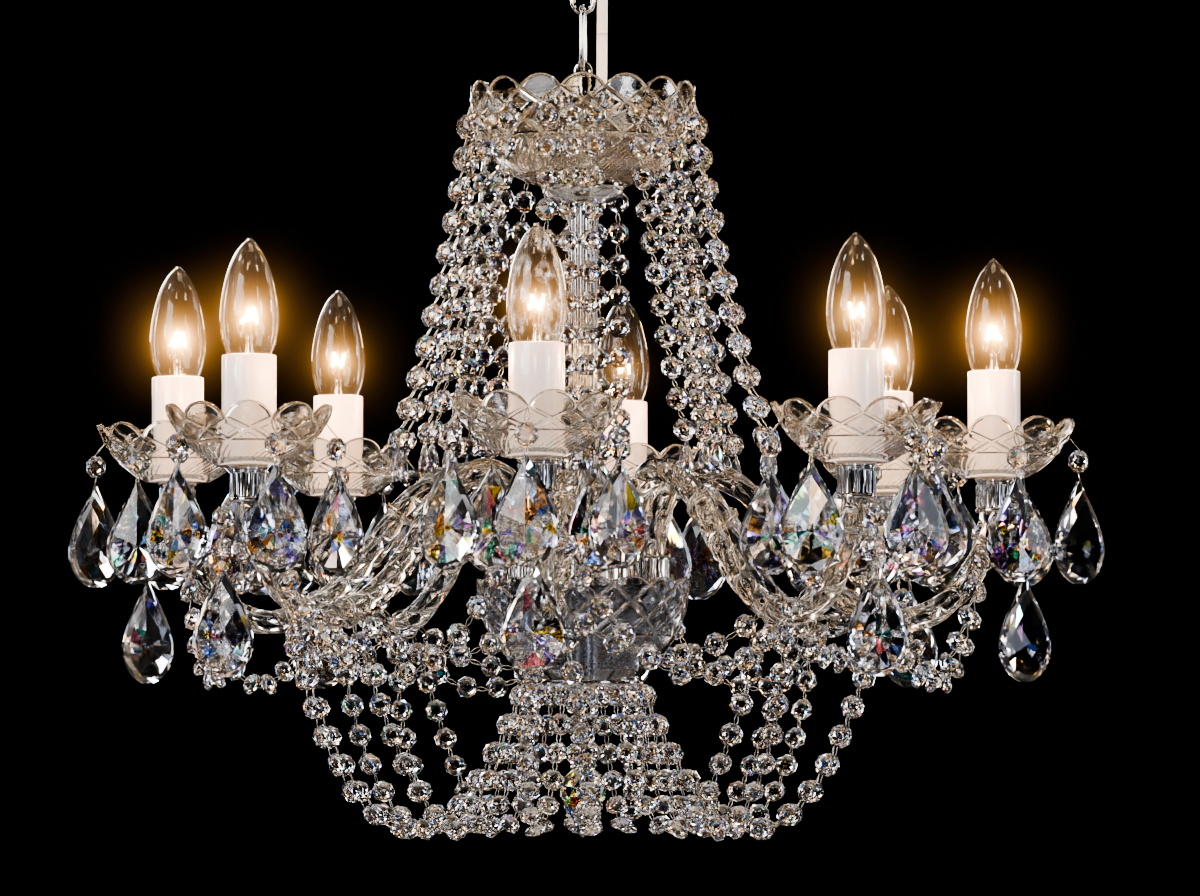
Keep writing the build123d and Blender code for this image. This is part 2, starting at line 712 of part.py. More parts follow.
upper_hook_z = top_dish_rim_z - top_dish_petal_height - hook_below_petals
upper_hook_radius = plain_gap + dish_side(
    top_dish_radius, top_dish_base_radius, top_dish_rim_z, top_dish_base_z, top_dish_bulge, upper_hook_z
)
uppers = [strung(upper_strand(side)) for side in (-1, 0, 1)]
lowers = [strung(lower_strand(side)) for side in (-1, 1)]
swags = [strung(swag(low_clip_radius, inner_swag_sag), True)]
swags.append(strung(swag(outer_clip_radius, outer_swag_sag), True))
for name, strands in (("upper_strands", uppers), ("lower_strands", lowers), ("garlands", swags)):
    keep(name, group([turned(bead, a) for a in arm_angles for strand in strands for bead in strand]))

small_shoulders = [(0.3, 0.6), (0.65, 1.0), (0.93, 0.6)]
end_pear = pear(end_pear_height, end_pear_width, bead_thickness, 0, small_shoulders)
end_places = [upper_strand(side)(1) - Vector(0, 0, pin_gap) for side in (-1, 0, 1)]
end_pears = [end_pear.moved(Location(Plane(p, x_dir=(0, 1, 0), z_dir=(0, 0, 1)))) for p in end_places]
keep("strand_pears", group([turned(p, a) for a in arm_angles for p in end_pears]))

# Drops: round each drip dish an octagon bead on its side and a pear under it, and one pear on two beads
# from the cup below
pear_shoulders = [(0.04, 0.1), (0.16, 0.36), (0.36, 0.72), (0.58, 0.98), (0.8, 0.86), (0.95, 0.45)]
large_pear = pear(pear_height, pear_width, pear_thickness, pear_pin, pear_shoulders)
hook_z = drip_dish_rim_z - drip_dish_petal_height - drop_hook
hook_radius = plain_gap + dish_side(
    drip_dish_radius, drip_dish_base_radius, drip_dish_rim_z, drip_dish_base_z, drip_dish_bulge, hook_z
)
drop_bead = octagon_bead(Vector(0, drop_circle_radius - hook_radius, hook_z - drop_bead_z))
dish_drops = []
for k in range(drops_per_dish):
    angle = 360 / drops_per_dish * k
    middle = ring(drop_circle_radius, angle, drop_bead_z) + Vector(lamp_radius, 0, 0)
    facing = Plane(middle, x_dir=ring(1, angle + 90, 0), z_dir=(0, 0, 1))
    dish_drops.append(drop_bead.moved(Location(facing)))
    below = facing.offset(-bead_flat - pin_gap - pear_pin)
    dish_drops.append(large_pear.moved(Location(below)))

low_place = Plane((lamp_radius + low_drop_out, 0, low_drop_top_z), x_dir=(0, 1, 0), z_dir=(0, 0, 1))
low_bead_z = pear_pin + pin_gap + bead_flat
cup_hook = Vector(0, low_drop_out - cup_radius * cos(pi / cup_sides) - pin_gap, bead_flat + pear_pin)
for step, tip in enumerate([Vector(0, 0, bead_flat + pear_pin), cup_hook]):
    place = low_place.offset(low_bead_z + step * (2 * bead_flat + pear_pin + pin_gap))
    dish_drops.append(octagon_bead(tip).moved(Location(place)))
keep("bobeche_drops", group([turned(d, a) for a in arm_angles for d in dish_drops]))

low_drop = large_pear.moved(Location(low_place))
for number, angle in enumerate(arm_angles, 1):
    keep(f"low_drop_{number}", turned(low_drop, angle))

# Centre drop: a cut ball with a point, hung under the nut
with BuildPart() as centre_drop:
    heights = [(0.0, 0.1), (0.1, 0.5), (0.3, 1.0), (0.5, 0.95), (1.0, 0.08)]
    for share, width in heights:
        with BuildSketch(Plane.XY.offset(ball_top_z - ball_height * share)):
            RegularPolygon(ball_radius * width, ball_sides)
    loft(ruled=True)
keep("centre_drop", centre_drop.part)

os.makedirs("parts", exist_ok=True)
for name, shape in nodes.items():
    export_step(shape, f"parts/{name}.step")
print(len(nodes), "nodes", sum(len(shape.solids()) for shape in nodes.values()), "solids")
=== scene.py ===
import bpy
import bmesh
import math
import numpy as np
from mathutils import Matrix, Vector
from mathutils.kdtree import KDTree


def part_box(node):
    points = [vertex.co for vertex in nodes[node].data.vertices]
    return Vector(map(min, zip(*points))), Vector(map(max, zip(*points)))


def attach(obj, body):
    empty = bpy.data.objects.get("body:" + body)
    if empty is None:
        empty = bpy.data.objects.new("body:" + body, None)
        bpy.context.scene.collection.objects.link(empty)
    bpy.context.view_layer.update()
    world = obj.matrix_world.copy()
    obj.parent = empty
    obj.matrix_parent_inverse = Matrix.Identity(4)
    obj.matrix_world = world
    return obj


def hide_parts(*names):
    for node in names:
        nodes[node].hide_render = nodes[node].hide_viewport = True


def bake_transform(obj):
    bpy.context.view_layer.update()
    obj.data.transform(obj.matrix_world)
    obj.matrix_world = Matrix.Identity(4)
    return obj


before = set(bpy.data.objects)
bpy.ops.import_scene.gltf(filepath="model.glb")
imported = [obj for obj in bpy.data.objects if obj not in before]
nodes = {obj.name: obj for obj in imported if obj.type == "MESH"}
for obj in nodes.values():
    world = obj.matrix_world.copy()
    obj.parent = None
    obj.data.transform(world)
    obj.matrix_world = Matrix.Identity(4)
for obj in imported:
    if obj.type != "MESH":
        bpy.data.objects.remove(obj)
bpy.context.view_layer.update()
scene = bpy.context.scene
mm = 0.001
chance = np.random.default_rng(7)

layout = {
    "arms": 8,
    "firstArm": -90.0,  # degrees, towards the camera
    "lampRadius": 251.0,
}
armAngles = [math.radians(layout["firstArm"] + 360 / layout["arms"] * k) for k in range(layout["arms"])]
print("frame loaded,", len(nodes), "nodes")


# Camera: long lens, a little below the lamps and looking up
view = {
    "distance": 3.52, "azimuth": 6.0, "height": -0.573, "aimRight": 0.0104, "aimHeight": -0.365,
    "lens": 173.0,
}


def makeCamera():
    turn = math.radians(view["azimuth"])
    data = bpy.data.cameras.new("camera")
    data.lens = view["lens"]
    data.sensor_width = 36.0
    data.clip_end = 60.0
    camera = bpy.data.objects.new("camera", data)
    scene.collection.objects.link(camera)
    spot = Vector((view["distance"] * math.sin(turn), -view["distance"] * math.cos(turn), view["height"]))
    aim = Vector((view["aimRight"] * math.cos(turn), view["aimRight"] * math.sin(turn), view["aimHeight"]))
    camera.location = spot
    camera.rotation_mode = "QUATERNION"
    camera.rotation_quaternion = (aim - spot).to_track_quat("-Z", "Y")
    scene.camera = camera


makeCamera()


# Mesh helpers. A part is (points, faces), points in millimetres until meshPiece() makes the object.
def joined(parts):
    points, faces = [], []
    for partPoints, partFaces in parts:
        start = len(points)
        points.extend(tuple(p) for p in partPoints)
        faces.extend(tuple(i + start for i in face) for face in partFaces)
    return points, faces


def placed(part, matrix):
    turn = np.array(matrix.to_3x3())
    shift = np.array(matrix.translation)
    return np.array(part[0], float) @ turn.T + shift, part[1]


def aroundStem(part, angles=armAngles):
    return joined([placed(part, Matrix.Rotation(a, 4, "Z")) for a in angles])


def atLamp(part):
    return placed(part, Matrix.Translation((layout["lampRadius"], 0, 0)))


def meshPiece(name, part, material, body, stands=(), smooth=True, tones=(), shadow=True):
    mesh = bpy.data.meshes.new(name)
    mesh.from_pydata([(x * mm, y * mm, z * mm) for x, y, z in part[0]], [], [list(f) for f in part[1]])
    mesh.update()
    mesh.polygons.foreach_set("use_smooth", [smooth] * len(mesh.polygons))
    # the tones become painted rainbow tints on the facets, standing in for the crystal's fire
    if tones:  # one number for each facet, which its crystal's material turns into a tint
        top = np.tile(np.array(tones), len(mesh.polygons) // len(tones))
        layer = mesh.attributes.new("facetTone", "FLOAT", "FACE")
        layer.data.foreach_set("value", (chance.random(len(top)) * top).astype(np.float32))
    mesh.materials.append(material)
    piece = bpy.data.objects.new(name, mesh)
    scene.collection.objects.link(piece)
    piece.visible_shadow = shadow
    if body:
        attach(piece, body)
    if stands:
        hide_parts(*stands)
    return piece


def sharpened(piece, crease=35):
    piece.data.set_sharp_from_angle(angle=math.radians(crease))
    return piece


def welded(piece, distance, crease):
    bm = bmesh.new()
    bm.from_mesh(piece.data)
    bmesh.ops.remove_doubles(bm, verts=bm.verts, dist=distance * mm)
    bmesh.ops.recalc_face_normals(bm, faces=bm.faces)
    bm.to_mesh(piece.data)
    bm.free()
    return sharpened(piece, crease)


def crystalPiece(name, parts, material, tints, stands=(), body="chandelier"):
    meshPiece(name, joined(parts), material, body, stands, smooth=False, tones=tints, shadow=False)


def wirePiece(name, parts, stands=(), body="chandelier"):
    meshPiece(name, joined(parts), nickelWire, body, stands)


def chromePiece(name, parts, node, body="chandelier"):
    return sharpened(meshPiece(name, joined(parts), chrome, body, [node]))


# Gives a node of the model a better material, and leaves its shape
def refinish(nodeName, material):
    nodes[nodeName].data.materials.clear()
    nodes[nodeName].data.materials.append(material)


# The faces between two rings of points
def band(low, high, flip=False):
    faces = []
    for k in range(len(low)):
        n = (k + 1) % len(low)
        face = (low[k], low[n], high[n], high[k])
        faces.append(face[:1] + face[:0:-1] if flip else face)
    return faces


# A turned shape from a list of (radius, height), as many sides as asked, its radius shaped by the rib function
def turnedShape(profile, sides, rib=None, closed=False):
    points, rows = [], []
    for radius, height in profile:
        if radius < 1e-6:
            rows.append([len(points)])
            points.append((0.0, 0.0, height))
            continue
        rows.append(list(range(len(points), len(points) + sides)))
        for k in range(sides):
            angle = 2 * math.pi * k / sides
            r = rib(radius, height, angle) if rib else radius
            points.append((r * math.cos(angle), r * math.sin(angle), height))
    faces = []
    for low, high in zip(rows, rows[1:] + (rows[:1] if closed else [])):
        if len(low) == len(high) == sides:
            faces += band(low, high)
        elif len(high) == sides:
            faces += [(low[0], high[(k + 1) % sides], high[k]) for k in range(sides)]
        elif len(low) == sides:
            faces += [(low[k], low[(k + 1) % sides], high[0]) for k in range(sides)]
    return points, faces


# A smooth line of more points through the given ones
def eased(points, steps):
    points = [Vector(p) for p in points]
    out = []
    for k in range(len(points) - 1):
        a, b = points[max(k - 1, 0)], points[k]
        c, d = points[k + 1], points[min(k + 2, len(points) - 1)]
        for s in range(steps):
            t = s / steps
            out.append(
                0.5 * (2 * b + (c - a) * t + (2 * a - 5 * b + 4 * c - d) * t * t + (3 * b - a - 3 * c + d) * t**3)
            )
    out.append(points[-1])
    return out


# A tube along a line. section gives its outline at each point as (sideways, upwards) pairs
def tube(line, section, closed=False, side=None):
    line = [Vector(p) for p in line]
    count = len(line)
    points, rings = [], []
    for k, p in enumerate(line):
        before = line[k - 1] if k or closed else p
        after = line[(k + 1) % count] if k < count - 1 or closed else p
        along = (after - before).normalized()
        if side is None:
            side = along.orthogonal().normalized()
        side = (side - along * side.dot(along)).normalized()
        up = along.cross(side)
        outline = section(k / (count - 1)) if callable(section) else section
        rings.append(list(range(len(points), len(points) + len(outline))))
        points.extend(tuple(p + side * u + up * v) for u, v in outline)
    faces = []
    for low, high in zip(rings, rings[1:] + (rings[:1] if closed else [])):
        faces += band(low, high)
    if not closed:
        faces += [tuple(reversed(rings[0])), tuple(rings[-1])]
    return points, faces


def circle(radius, sides):
    turns = [2 * math.pi * k / sides for k in range(sides)]
    return [(radius * math.cos(turn), radius * math.sin(turn)) for turn in turns]


# The separate solids of a model node: each one's points, in millimetres, and how many edges meet at each
def solidsOf(nodeName):
    mesh = nodes[nodeName].data
    samePlace = 0.02  # mm
    tree = KDTree(len(mesh.vertices))
    for v in mesh.vertices:
        tree.insert(v.co, v.index)
    tree.balance()
    index, points = [-1] * len(mesh.vertices), []
    for v in mesh.vertices:
        if index[v.index] < 0:
            for _, i, _ in tree.find_range(v.co, samePlace * mm):
                index[i] = len(points)
            points.append(Vector(v.co) / mm)
    parent = list(range(len(points)))

    def top(i):
        while parent[i] != i:
            parent[i] = parent[parent[i]]
            i = parent[i]
        return i

    near = [set() for _ in points]
    for face in mesh.polygons:
        corners = [index[v] for v in face.vertices]
        for a, b in zip(corners, corners[1:] + corners[:1]):
            near[a].add(b)
            near[b].add(a)
            parent[top(a)] = top(b)
    groups = {}
    for i in range(len(points)):
        groups.setdefault(top(i), []).append(i)
    return [[(points[i], len(near[i])) for i in group] for group in groups.values()]


# Materials
def toLinear(hexText):
    parts = [int(hexText[i : i + 2], 16) / 255 for i in (0, 2, 4)]
    return tuple(c / 12.92 if c <= 0.04045 else ((c + 0.055) / 1.055) ** 2.4 for c in parts) + (1.0,)


# Each source is an output, or a node, which stands for its first output
def linkUp(tree, node, links):
    for key, source in links.items():
        output = source.outputs[0] if isinstance(source, bpy.types.Node) else source
        tree.links.new(output, node.inputs[key])


# kind leaves out ShaderNode or CompositorNode. stops are a colour ramp's places and colours
def addNode(tree, kind, settings={}, links={}, stops=()):
    node = tree.nodes.new(tree.bl_idname.replace("Tree", kind))
    for key, value in settings.items():
        if isinstance(key, int) or key in node.inputs:
            node.inputs[key].default_value = value
        else:
            setattr(node, key, value)
    linkUp(tree, node, links)
    for k, (place, hexText) in enumerate(stops):
        elements = node.color_ramp.elements
        element = elements[k] if k < len(elements) else elements.new(place)
        element.position, element.color = place, toLinear(hexText)
    return node


def newMaterial(name, settings):
    material = bpy.data.materials.new(name)
    material.use_nodes = True
    tree = material.node_tree
    shader = tree.nodes["Principled BSDF"]
    for key, value in settings.items():
        shader.inputs[key].default_value = value
    return material, tree, shader


crystalLook = {
    "ior": 1.6,  # lead crystal
    "beadPolish": 0.02, "pearPolish": 0.045,
    # the tints that a facet's tone picks: painted rainbow fire, flat colours standing in for the light that the
    # crystal splits into colours, white where the facet stays clear
    "beadPaintedFire": [
        (0.0, "ffffff"), (0.34, "ffe9c9"), (0.52, "ffffff"), (0.66, "d3deff"), (0.76, "ffd6a3"), (0.83, "ffffff"),
        (0.88, "b7a5ff"), (0.915, "ffab60"), (0.945, "8beed6"), (0.97, "4f82ff"),
    ],
    "pearPaintedFire": [
        (0.0, "ffffff"), (0.28, "dde6fa"), (0.42, "ffffff"), (0.54, "ffe2b4"), (0.63, "ffffff"), (0.70, "9678ff"),
        (0.755, "ff8f36"), (0.805, "ffffff"), (0.845, "57e3cf"), (0.885, "4775ff"), (0.925, "ffcb26"),
        (0.962, "ff5f72"),
    ],
    "filmFrom": 0.6,  # facets with a tone past this have a film, and so a play of colours
    "filmIor": 1.38,
    "beadFilm": 380.0,  # nm, where the tone is highest
    "pearFilm": 560.0,
}


# Lead crystal, cut and polished: water clear, sharp facets, and here and there one painted in a colour of the
# rainbow, a painted tint standing in for the fire that the cut crystal splits out of the light
def leadCrystal(name, stops, film, polish):
    material, tree, shader = newMaterial(name, {
        "Roughness": polish, "IOR": crystalLook["ior"], "Transmission Weight": 1.0,
        "Thin Film IOR": crystalLook["filmIor"],
    })
    tone = addNode(tree, "Attribute", {"attribute_name": "facetTone"}).outputs["Fac"]
    # painted rainbow fire: the facet's tone picks a flat tint for it
    tint = addNode(tree, "ValToRGB", {}, {"Fac": tone}, stops)
    tint.color_ramp.interpolation = "CONSTANT"
    thickness = addNode(tree, "MapRange", {"From Min": crystalLook["filmFrom"], "To Max": film}, {"Value": tone})
    linkUp(tree, shader, {"Base Color": tint, "Thin Film Thickness": thickness})
    return material


beadCrystal, pearCrystal = [
    leadCrystal(kind + "LeadCrystal", crystalLook[kind + "PaintedFire"], crystalLook[kind + "Film"],
                crystalLook[kind + "Polish"])
    for kind in ("bead", "pear")
]

glassLook = {
    "dish": "e3ded4", "bowl": "c3c7cd", "arm": "e9e0d2", "ior": 1.52, "dishPolish": 0.03,
    "armPolish": 0.02,
    "waveSize": 9.0,  # mm, the slow unevenness that pressing leaves
    "grainSize": 1.1,  # mm
    "coarser": 4,  # the grain is drawn this many times as coarse, so that it shows
    "grainFlat": 5.0,  # how much lower than wide the grain is
    "grainShare": 0.5, "bump": 0.35,
    "dishLift": 0.25,  # mm
    "armLift": 0.3,
    "ridgeClear": 0.9,  # how clear the ground edges between the cuts are
}


# Pressed soda-lime glass, fire polished: clear, softly uneven, with fine lines left by the mould, and bright
# where the cuts meet
def pressedGlass(name, colour, polish, lift):
    material, tree, shader = newMaterial(name, {
        "Roughness": polish, "IOR": glassLook["ior"], "Transmission Weight": 1.0, "Base Color": toLinear(colour),
    })
    place = addNode(tree, "TexCoord").outputs["Object"]
    slow = addNode(tree, "TexNoise", {"Scale": 1 / (glassLook["waveSize"] * mm), "Detail": 2.0}, {"Vector": place})
    flat = addNode(tree, "Mapping", {"Scale": (1.0, 1.0, glassLook["grainFlat"])}, {"Vector": place})
    fine = addNode(
        tree, "TexNoise", {"Scale": 1 / (glassLook["grainSize"] * mm * glassLook["coarser"]), "Detail": 3.0},
        {"Vector": flat},
    )
    both = addNode(tree, "Math", {"operation": "MULTIPLY_ADD", 1: glassLook["grainShare"]}, {0: fine, 2: slow})
    bump = addNode(tree, "Bump", {"Strength": glassLook["bump"], "Distance": lift * mm}, {"Height": both})
    ridge = addNode(tree, "Attribute", {"attribute_name": "ridge"}).outputs["Fac"]
    clear = addNode(tree, "MapRange", {"To Min": 1.0, "To Max": glassLook["ridgeClear"]}, {"Value": ridge})
    linkUp(tree, shader, {"Normal": bump, "Transmission Weight": clear})
    return material


dishGlass = pressedGlass("pressedDishGlass", glassLook["dish"], glassLook["dishPolish"], glassLook["dishLift"])
bowlGlass = pressedGlass("pressedBowlGlass", glassLook["bowl"], glassLook["dishPolish"], glassLook["dishLift"])
armGlass = pressedGlass("drawnArmGlass", glassLook["arm"], glassLook["armPolish"], glassLook["armLift"])


# A tint and a gloss that drift together from place to place, and a fine skin. Sizes are in mm
def unevenFinish(tree, shader, look, colours, roughness):
    place = addNode(tree, "TexCoord").outputs["Object"]
    stretched = addNode(tree, "Mapping", {"Scale": (1.0, 1.0, look["stretch"])}, {"Vector": place})
    scale, detail = 1 / (look["patchSize"] * mm), look["patchDetail"]
    drift = addNode(tree, "TexNoise", {"Scale": scale, "Detail": detail}, {"Vector": stretched})
    tint = addNode(tree, "ValToRGB", {}, {"Fac": drift}, zip(look["patchEdges"], colours))
    least, most = look["gloss"]
    gloss = addNode(tree, "MapRange", {"To Min": roughness * least, "To Max": roughness * most}, {"Value": drift})
    skin = addNode(tree, "TexNoise", {"Scale": 1 / (look["skinSize"] * mm), "Detail": 2.0}, {"Vector": place})
    bump = addNode(tree, "Bump", {"Strength": look["skinBump"], "Distance": look["skinDepth"] * mm}, {"Height": skin})
    linkUp(tree, shader, {"Base Color": tint, "Roughness": gloss, "Normal": bump})


metalLook = {
    # the colour where it is clouded, the clear colour, and roughness
    "chrome": ("c9c4bc", "d9dbdd", 0.09), "wire": ("a89f92", "c8c6c2", 0.2), "zinc": ("8f9397", "a9adb1", 0.38),
    "patchSize": 14.0, "patchDetail": 4.0, "patchEdges": (0.35, 0.65), "stretch": 1.0,
    "gloss": (0.6, 1.6),  # the least and the most roughness, as shares of the metal's
    "skinSize": 0.8, "skinDepth": 0.05, "skinBump": 0.08,  # the marks of brushing
}


# Plating over turned or spun steel. Chrome and nickel are mirror bright, faintly clouded by wiping. Zinc is duller.
def platedMetal(name, clouded, clear, roughness):
    material, tree, shader = newMaterial(name, {"Metallic": 1.0})
    unevenFinish(tree, shader, metalLook, (clouded, clear), roughness)
    return material


chrome = platedMetal("polishedChrome", *metalLook["chrome"])
nickelWire = platedMetal("nickelPlatedWire", *metalLook["wire"])
zincSteel = platedMetal("zincPlatedSteel", *metalLook["zinc"])

plasticLook = {
    # two mottled colours, and roughness
    "sleeve": ("f2d6cd", "fdf0ec", 0.22), "holder": ("efe9df", "e2dbcf", 0.45), "cable": ("dbe7fa", "e4e4e0", 0.38),
    "ior": 1.49, "coatRoughness": 0.05,
    "patchSize": 5.0, "patchDetail": 3.0, "patchEdges": (0.3, 0.7),
    "stretch": 0.08,  # the mottling runs into streaks up and down
    "gloss": (0.8, 1.3), "skinSize": 0.9, "skinDepth": 0.06, "skinBump": 0.12,
    "glowReach": 2.0, "glowSpread": (1.0, 0.6, 0.45),
    # the painted glow of the lamp's light through the sleeve: its strength, colour, share at the foot, and the
    # heights it rises between
    "lit": 0.62, "litColour": "ffefe6", "litFootShare": 0.3, "litFoot": -0.36, "litTop": -0.32,
}


# Moulded plastic: an even body colour with slow mottling, an orange-peel skin and a soft gloss
def mouldedPlastic(name, colour, other, roughness, coat=0.0, glow=0.0, lit=0.0):
    material, tree, shader = newMaterial(name, {
        "IOR": plasticLook["ior"], "Coat Weight": coat, "Coat Roughness": plasticLook["coatRoughness"],
        "Subsurface Weight": glow, "Subsurface Radius": plasticLook["glowSpread"],
        "Subsurface Scale": plasticLook["glowReach"] * mm,
    })
    unevenFinish(tree, shader, plasticLook, (colour, other), roughness)
    # painted light: an emission glow standing in for the lamp's light shining through, strongest at the top
    if lit:  # light from the lamp inside, strongest at the top
        place = addNode(tree, "TexCoord").outputs["Object"]
        height = addNode(tree, "SeparateXYZ", {}, {"Vector": place}).outputs["Z"]
        light = addNode(
            tree, "MapRange",
            {
                "From Min": plasticLook["litFoot"], "From Max": plasticLook["litTop"],
                "To Min": lit * plasticLook["litFootShare"], "To Max": lit,
            },
            {"Value": height},
        )
        shader.inputs["Emission Color"].default_value = toLinear(plasticLook["litColour"])
        linkUp(tree, shader, {"Emission Strength": light})
    return material


sleevePlastic = mouldedPlastic(
    "candleSleevePlastic", *plasticLook["sleeve"], coat=0.8, glow=0.25, lit=plasticLook["lit"]
)
holderPlastic = mouldedPlastic("lampHolderPlastic", *plasticLook["holder"])
cablePlastic = mouldedPlastic("flatCablePlastic", *plasticLook["cable"], glow=0.1)


lampLook = {
    "ior": 1.38, "polish": 0.06,
    "tints": [(0.3, "fff8ee"), (0.7, "ffffff")],
    "waveSize": 22.0,  # mm
    # after the wave: the painted glow, an amber emission on the glass standing in for the filament's light, strongest
    # at the foot and fading to a share of it at the top
    "waveDepth": 0.2, "waveBump": 0.15, "paintedGlow": 0.03, "paintedGlowColour": "ffc27a", "paintedGlowTop": -0.262,
    "paintedGlowFoot": -0.3, "paintedGlowAtTop": 0.1, "filament": 2600.0,
    "filamentTints": [(0.3, "ffbd74"), (0.7, "ffd49c")],
    "filamentPatch": 3.0,  # mm
    "filamentRoughness": 0.5,
}


# Blown lamp glass: a thin clear shell, with a painted amber glow on it that stands in for the filament's light,
# stronger near the filament
def blownGlass():
    material, tree, shader = newMaterial(
        "blownLampGlass", {"IOR": lampLook["ior"], "Transmission Weight": 1.0, "Roughness": lampLook["polish"]}
    )
    place = addNode(tree, "TexCoord").outputs["Object"]
    slow = addNode(tree, "TexNoise", {"Scale": 1 / (lampLook["waveSize"] * mm), "Detail": 1.0}, {"Vector": place})
    tint = addNode(tree, "ValToRGB", {}, {"Fac": slow}, lampLook["tints"])
    bump = addNode(
        tree, "Bump", {"Strength": lampLook["waveBump"], "Distance": lampLook["waveDepth"] * mm},
        {"Height": slow},
    )
    # painted glow: amber emission on the glass for the filament's light, fading from the foot towards the top
    height = addNode(tree, "SeparateXYZ", {}, {"Vector": place}).outputs["Z"]
    paintedGlow = addNode(
        tree, "MapRange",
        {
            "From Min": lampLook["paintedGlowTop"], "From Max": lampLook["paintedGlowFoot"],
            "To Min": lampLook["paintedGlow"] * lampLook["paintedGlowAtTop"], "To Max": lampLook["paintedGlow"],
        },
        {"Value": height},
    )
    shader.inputs["Emission Color"].default_value = toLinear(lampLook["paintedGlowColour"])
    linkUp(tree, shader, {"Base Color": tint, "Normal": bump, "Emission Strength": paintedGlow})
    return material


# Glowing tungsten: hot and amber, in patches that are a little hotter or cooler than the rest
def hotTungsten():
    material, tree, shader = newMaterial(
        "hotTungsten", {"Roughness": lampLook["filamentRoughness"], "Emission Strength": lampLook["filament"]}
    )
    place = addNode(tree, "TexCoord").outputs["Object"]
    patches = addNode(
        tree, "TexNoise", {"Scale": 1 / (lampLook["filamentPatch"] * mm), "Detail": 1.0}, {"Vector": place}
    )
    tint = addNode(tree, "ValToRGB", {}, {"Fac": patches}, lampLook["filamentTints"])
    linkUp(tree, shader, {"Base Color": tint, "Emission Color": tint})
    return material


lampGlass = blownGlass()
tungsten = hotTungsten()
print("materials made")


# Power cable: flat two-core lead, 6.6 mm wide, straight from the canopy's gland to the stem cap.
# It is in three lengths of one line.
cable = {
    "top": (12.5, 0.0, -30.0),
    "cuts": [-70.0, -110.0],
    "foot": (11.4, 0.0, -150.0), "width": 6.6, "thickness": 3.0,
    "waist": 0.3,  # how much thinner it is between its two cores
    "waistWidth": 0.22,
    "squareness": (0.55, 0.8),  # across and through: 1 is an oval
    "sides": 24,
    "bodies": ["ceiling_fitting", "upper_link", "lower_link", "chandelier"],
    "bends": [(-46.0, -68.0), (-82.0, -108.0), (-118.0, -144.0)],
}


def cableLine(start, end):
    data = bpy.data.curves.new("route", "CURVE")
    data.dimensions = "3D"
    spline = data.splines.new("NURBS")
    spline.points.add(3)
    for k, point in enumerate(spline.points):
        point.co = (*(start + (end - start) * (k / 3)), 1.0)
    spline.order_u = 3
    spline.use_endpoint_u = True
    data.resolution_u = 8
    holder = bpy.data.objects.new("route", data)
    mesh = bpy.data.meshes.new_from_object(holder)
    line = [v.co.copy() for v in mesh.vertices]
    bpy.data.objects.remove(holder)
    bpy.data.curves.remove(data)
    return line


def cableOutline():
    across, through = cable["squareness"]
    outline = []
    for x, y in circle(1, cable["sides"]):
        half = cable["thickness"] / 2 * (1 - cable["waist"] * math.exp(-((x / cable["waistWidth"]) ** 2)))
        outline.append((
            math.copysign(abs(x) ** across, x) * cable["width"] / 2, math.copysign(abs(y) ** through, y) * half
        ))
    return outline


def makeCable():
    top, foot = Vector(cable["top"]), Vector(cable["foot"])

    def pointAt(height):
        return top + (foot - top) * ((height - top.z) / (foot.z - top.z))

    stops = [top, *[pointAt(z) for z in cable["cuts"]], foot]
    outline = cableOutline()
    for k, (start, end) in enumerate(zip(stops, stops[1:])):
        line = cableLine(start, end)
        part = tube(line, outline, side=Vector((1, 0, 0)))
        piece = meshPiece(f"powerCable{k + 1}", part, cablePlastic, None, ["power_cable"])
        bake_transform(piece)


makeCable()
print("cable hung")


# Crystals. Each is cut at its own place in the model: x to its side, y through its thickness, z up to its pin.
bead = {
    "radius": 7.25, "sides": 8,
    # radius, half thickness and turn of each ring of facet corners, from the girdle in
    "rings": [(7.2, 0.7, 22.5), (5.35, 1.95, 0), (3.5, 2.85, 22.5), (1.75, 3.17, 0)],
    # a facet's tone picks its painted rainbow tint
    "tones": (0.85, 1.0, 0.3),  # the most that a facet's tone may be, on the front, the back and the girdle
    "swing": (0.65, 60.0, 14.0),  # share of the way to the front, the most, and how unevenly, in degrees
    "holeAt": 5.7, "wire": 0.36, "wireSides": 5, "wireSpread": 1.35, "wireProud": 1.15,
    "wireEnds": (-0.4, 1.5),  # how far the wire starts before the hole and goes on past the next crystal's edge
    # a wire pin's bends: share of its spread, share of how proud it is, and how far along it
    "wireBends": [
        (0, -1, 0), (0.75, -0.6, 0.25), (1, 0, 0.5), (0.5, 0.5, 0.75), (0, 0.8, 1), (-0.5, 0.5, 0.75), (-1, 0, 0.5),
        (-0.75, -0.6, 0.25),
    ],
    "cornerSlack": 0.02,  # mm, how well the model's corners keep to the radius
    "sideLength": (5, 6),  # mm, the least and the most between neighbouring corners
    "mostPoints": 13,  # a solid of the model with more than these is a pear
}


def octagonCrystal():
    points, faces, girdles = [], [], []
    sides = bead["sides"]
    for side in (-1, 1):
        rings = []
        for radius, depth, first in bead["rings"]:
            rings.append(list(range(len(points), len(points) + sides)))
            for k in range(sides):
                angle = math.radians(first + 360 / sides * k)
                points.append((radius * math.cos(angle), side * depth, radius * math.sin(angle)))
        for (outer, inner), (_, _, first) in zip(zip(rings, rings[1:]), bead["rings"]):
            for k in range(sides):
                n = (k + 1) % sides
                ahead, behind = (inner[n], inner[k]) if first else (inner[k], inner[k - 1])
                faces.append((outer[k], ahead, outer[n] if first else outer[k - 1]))
                faces.append((outer[k], behind, ahead))
        faces.append(tuple(rings[-1]))
        girdles.append(rings[0])
    half = len(faces) // 2
    faces += [(girdles[0][k - 1], girdles[0][k], girdles[1][k], girdles[1][k - 1]) for k in range(sides)]
    front, back, girdle = bead["tones"]
    return outward(points, faces, (0, 0, 0)), [front] * half + [back] * half + [girdle] * sides


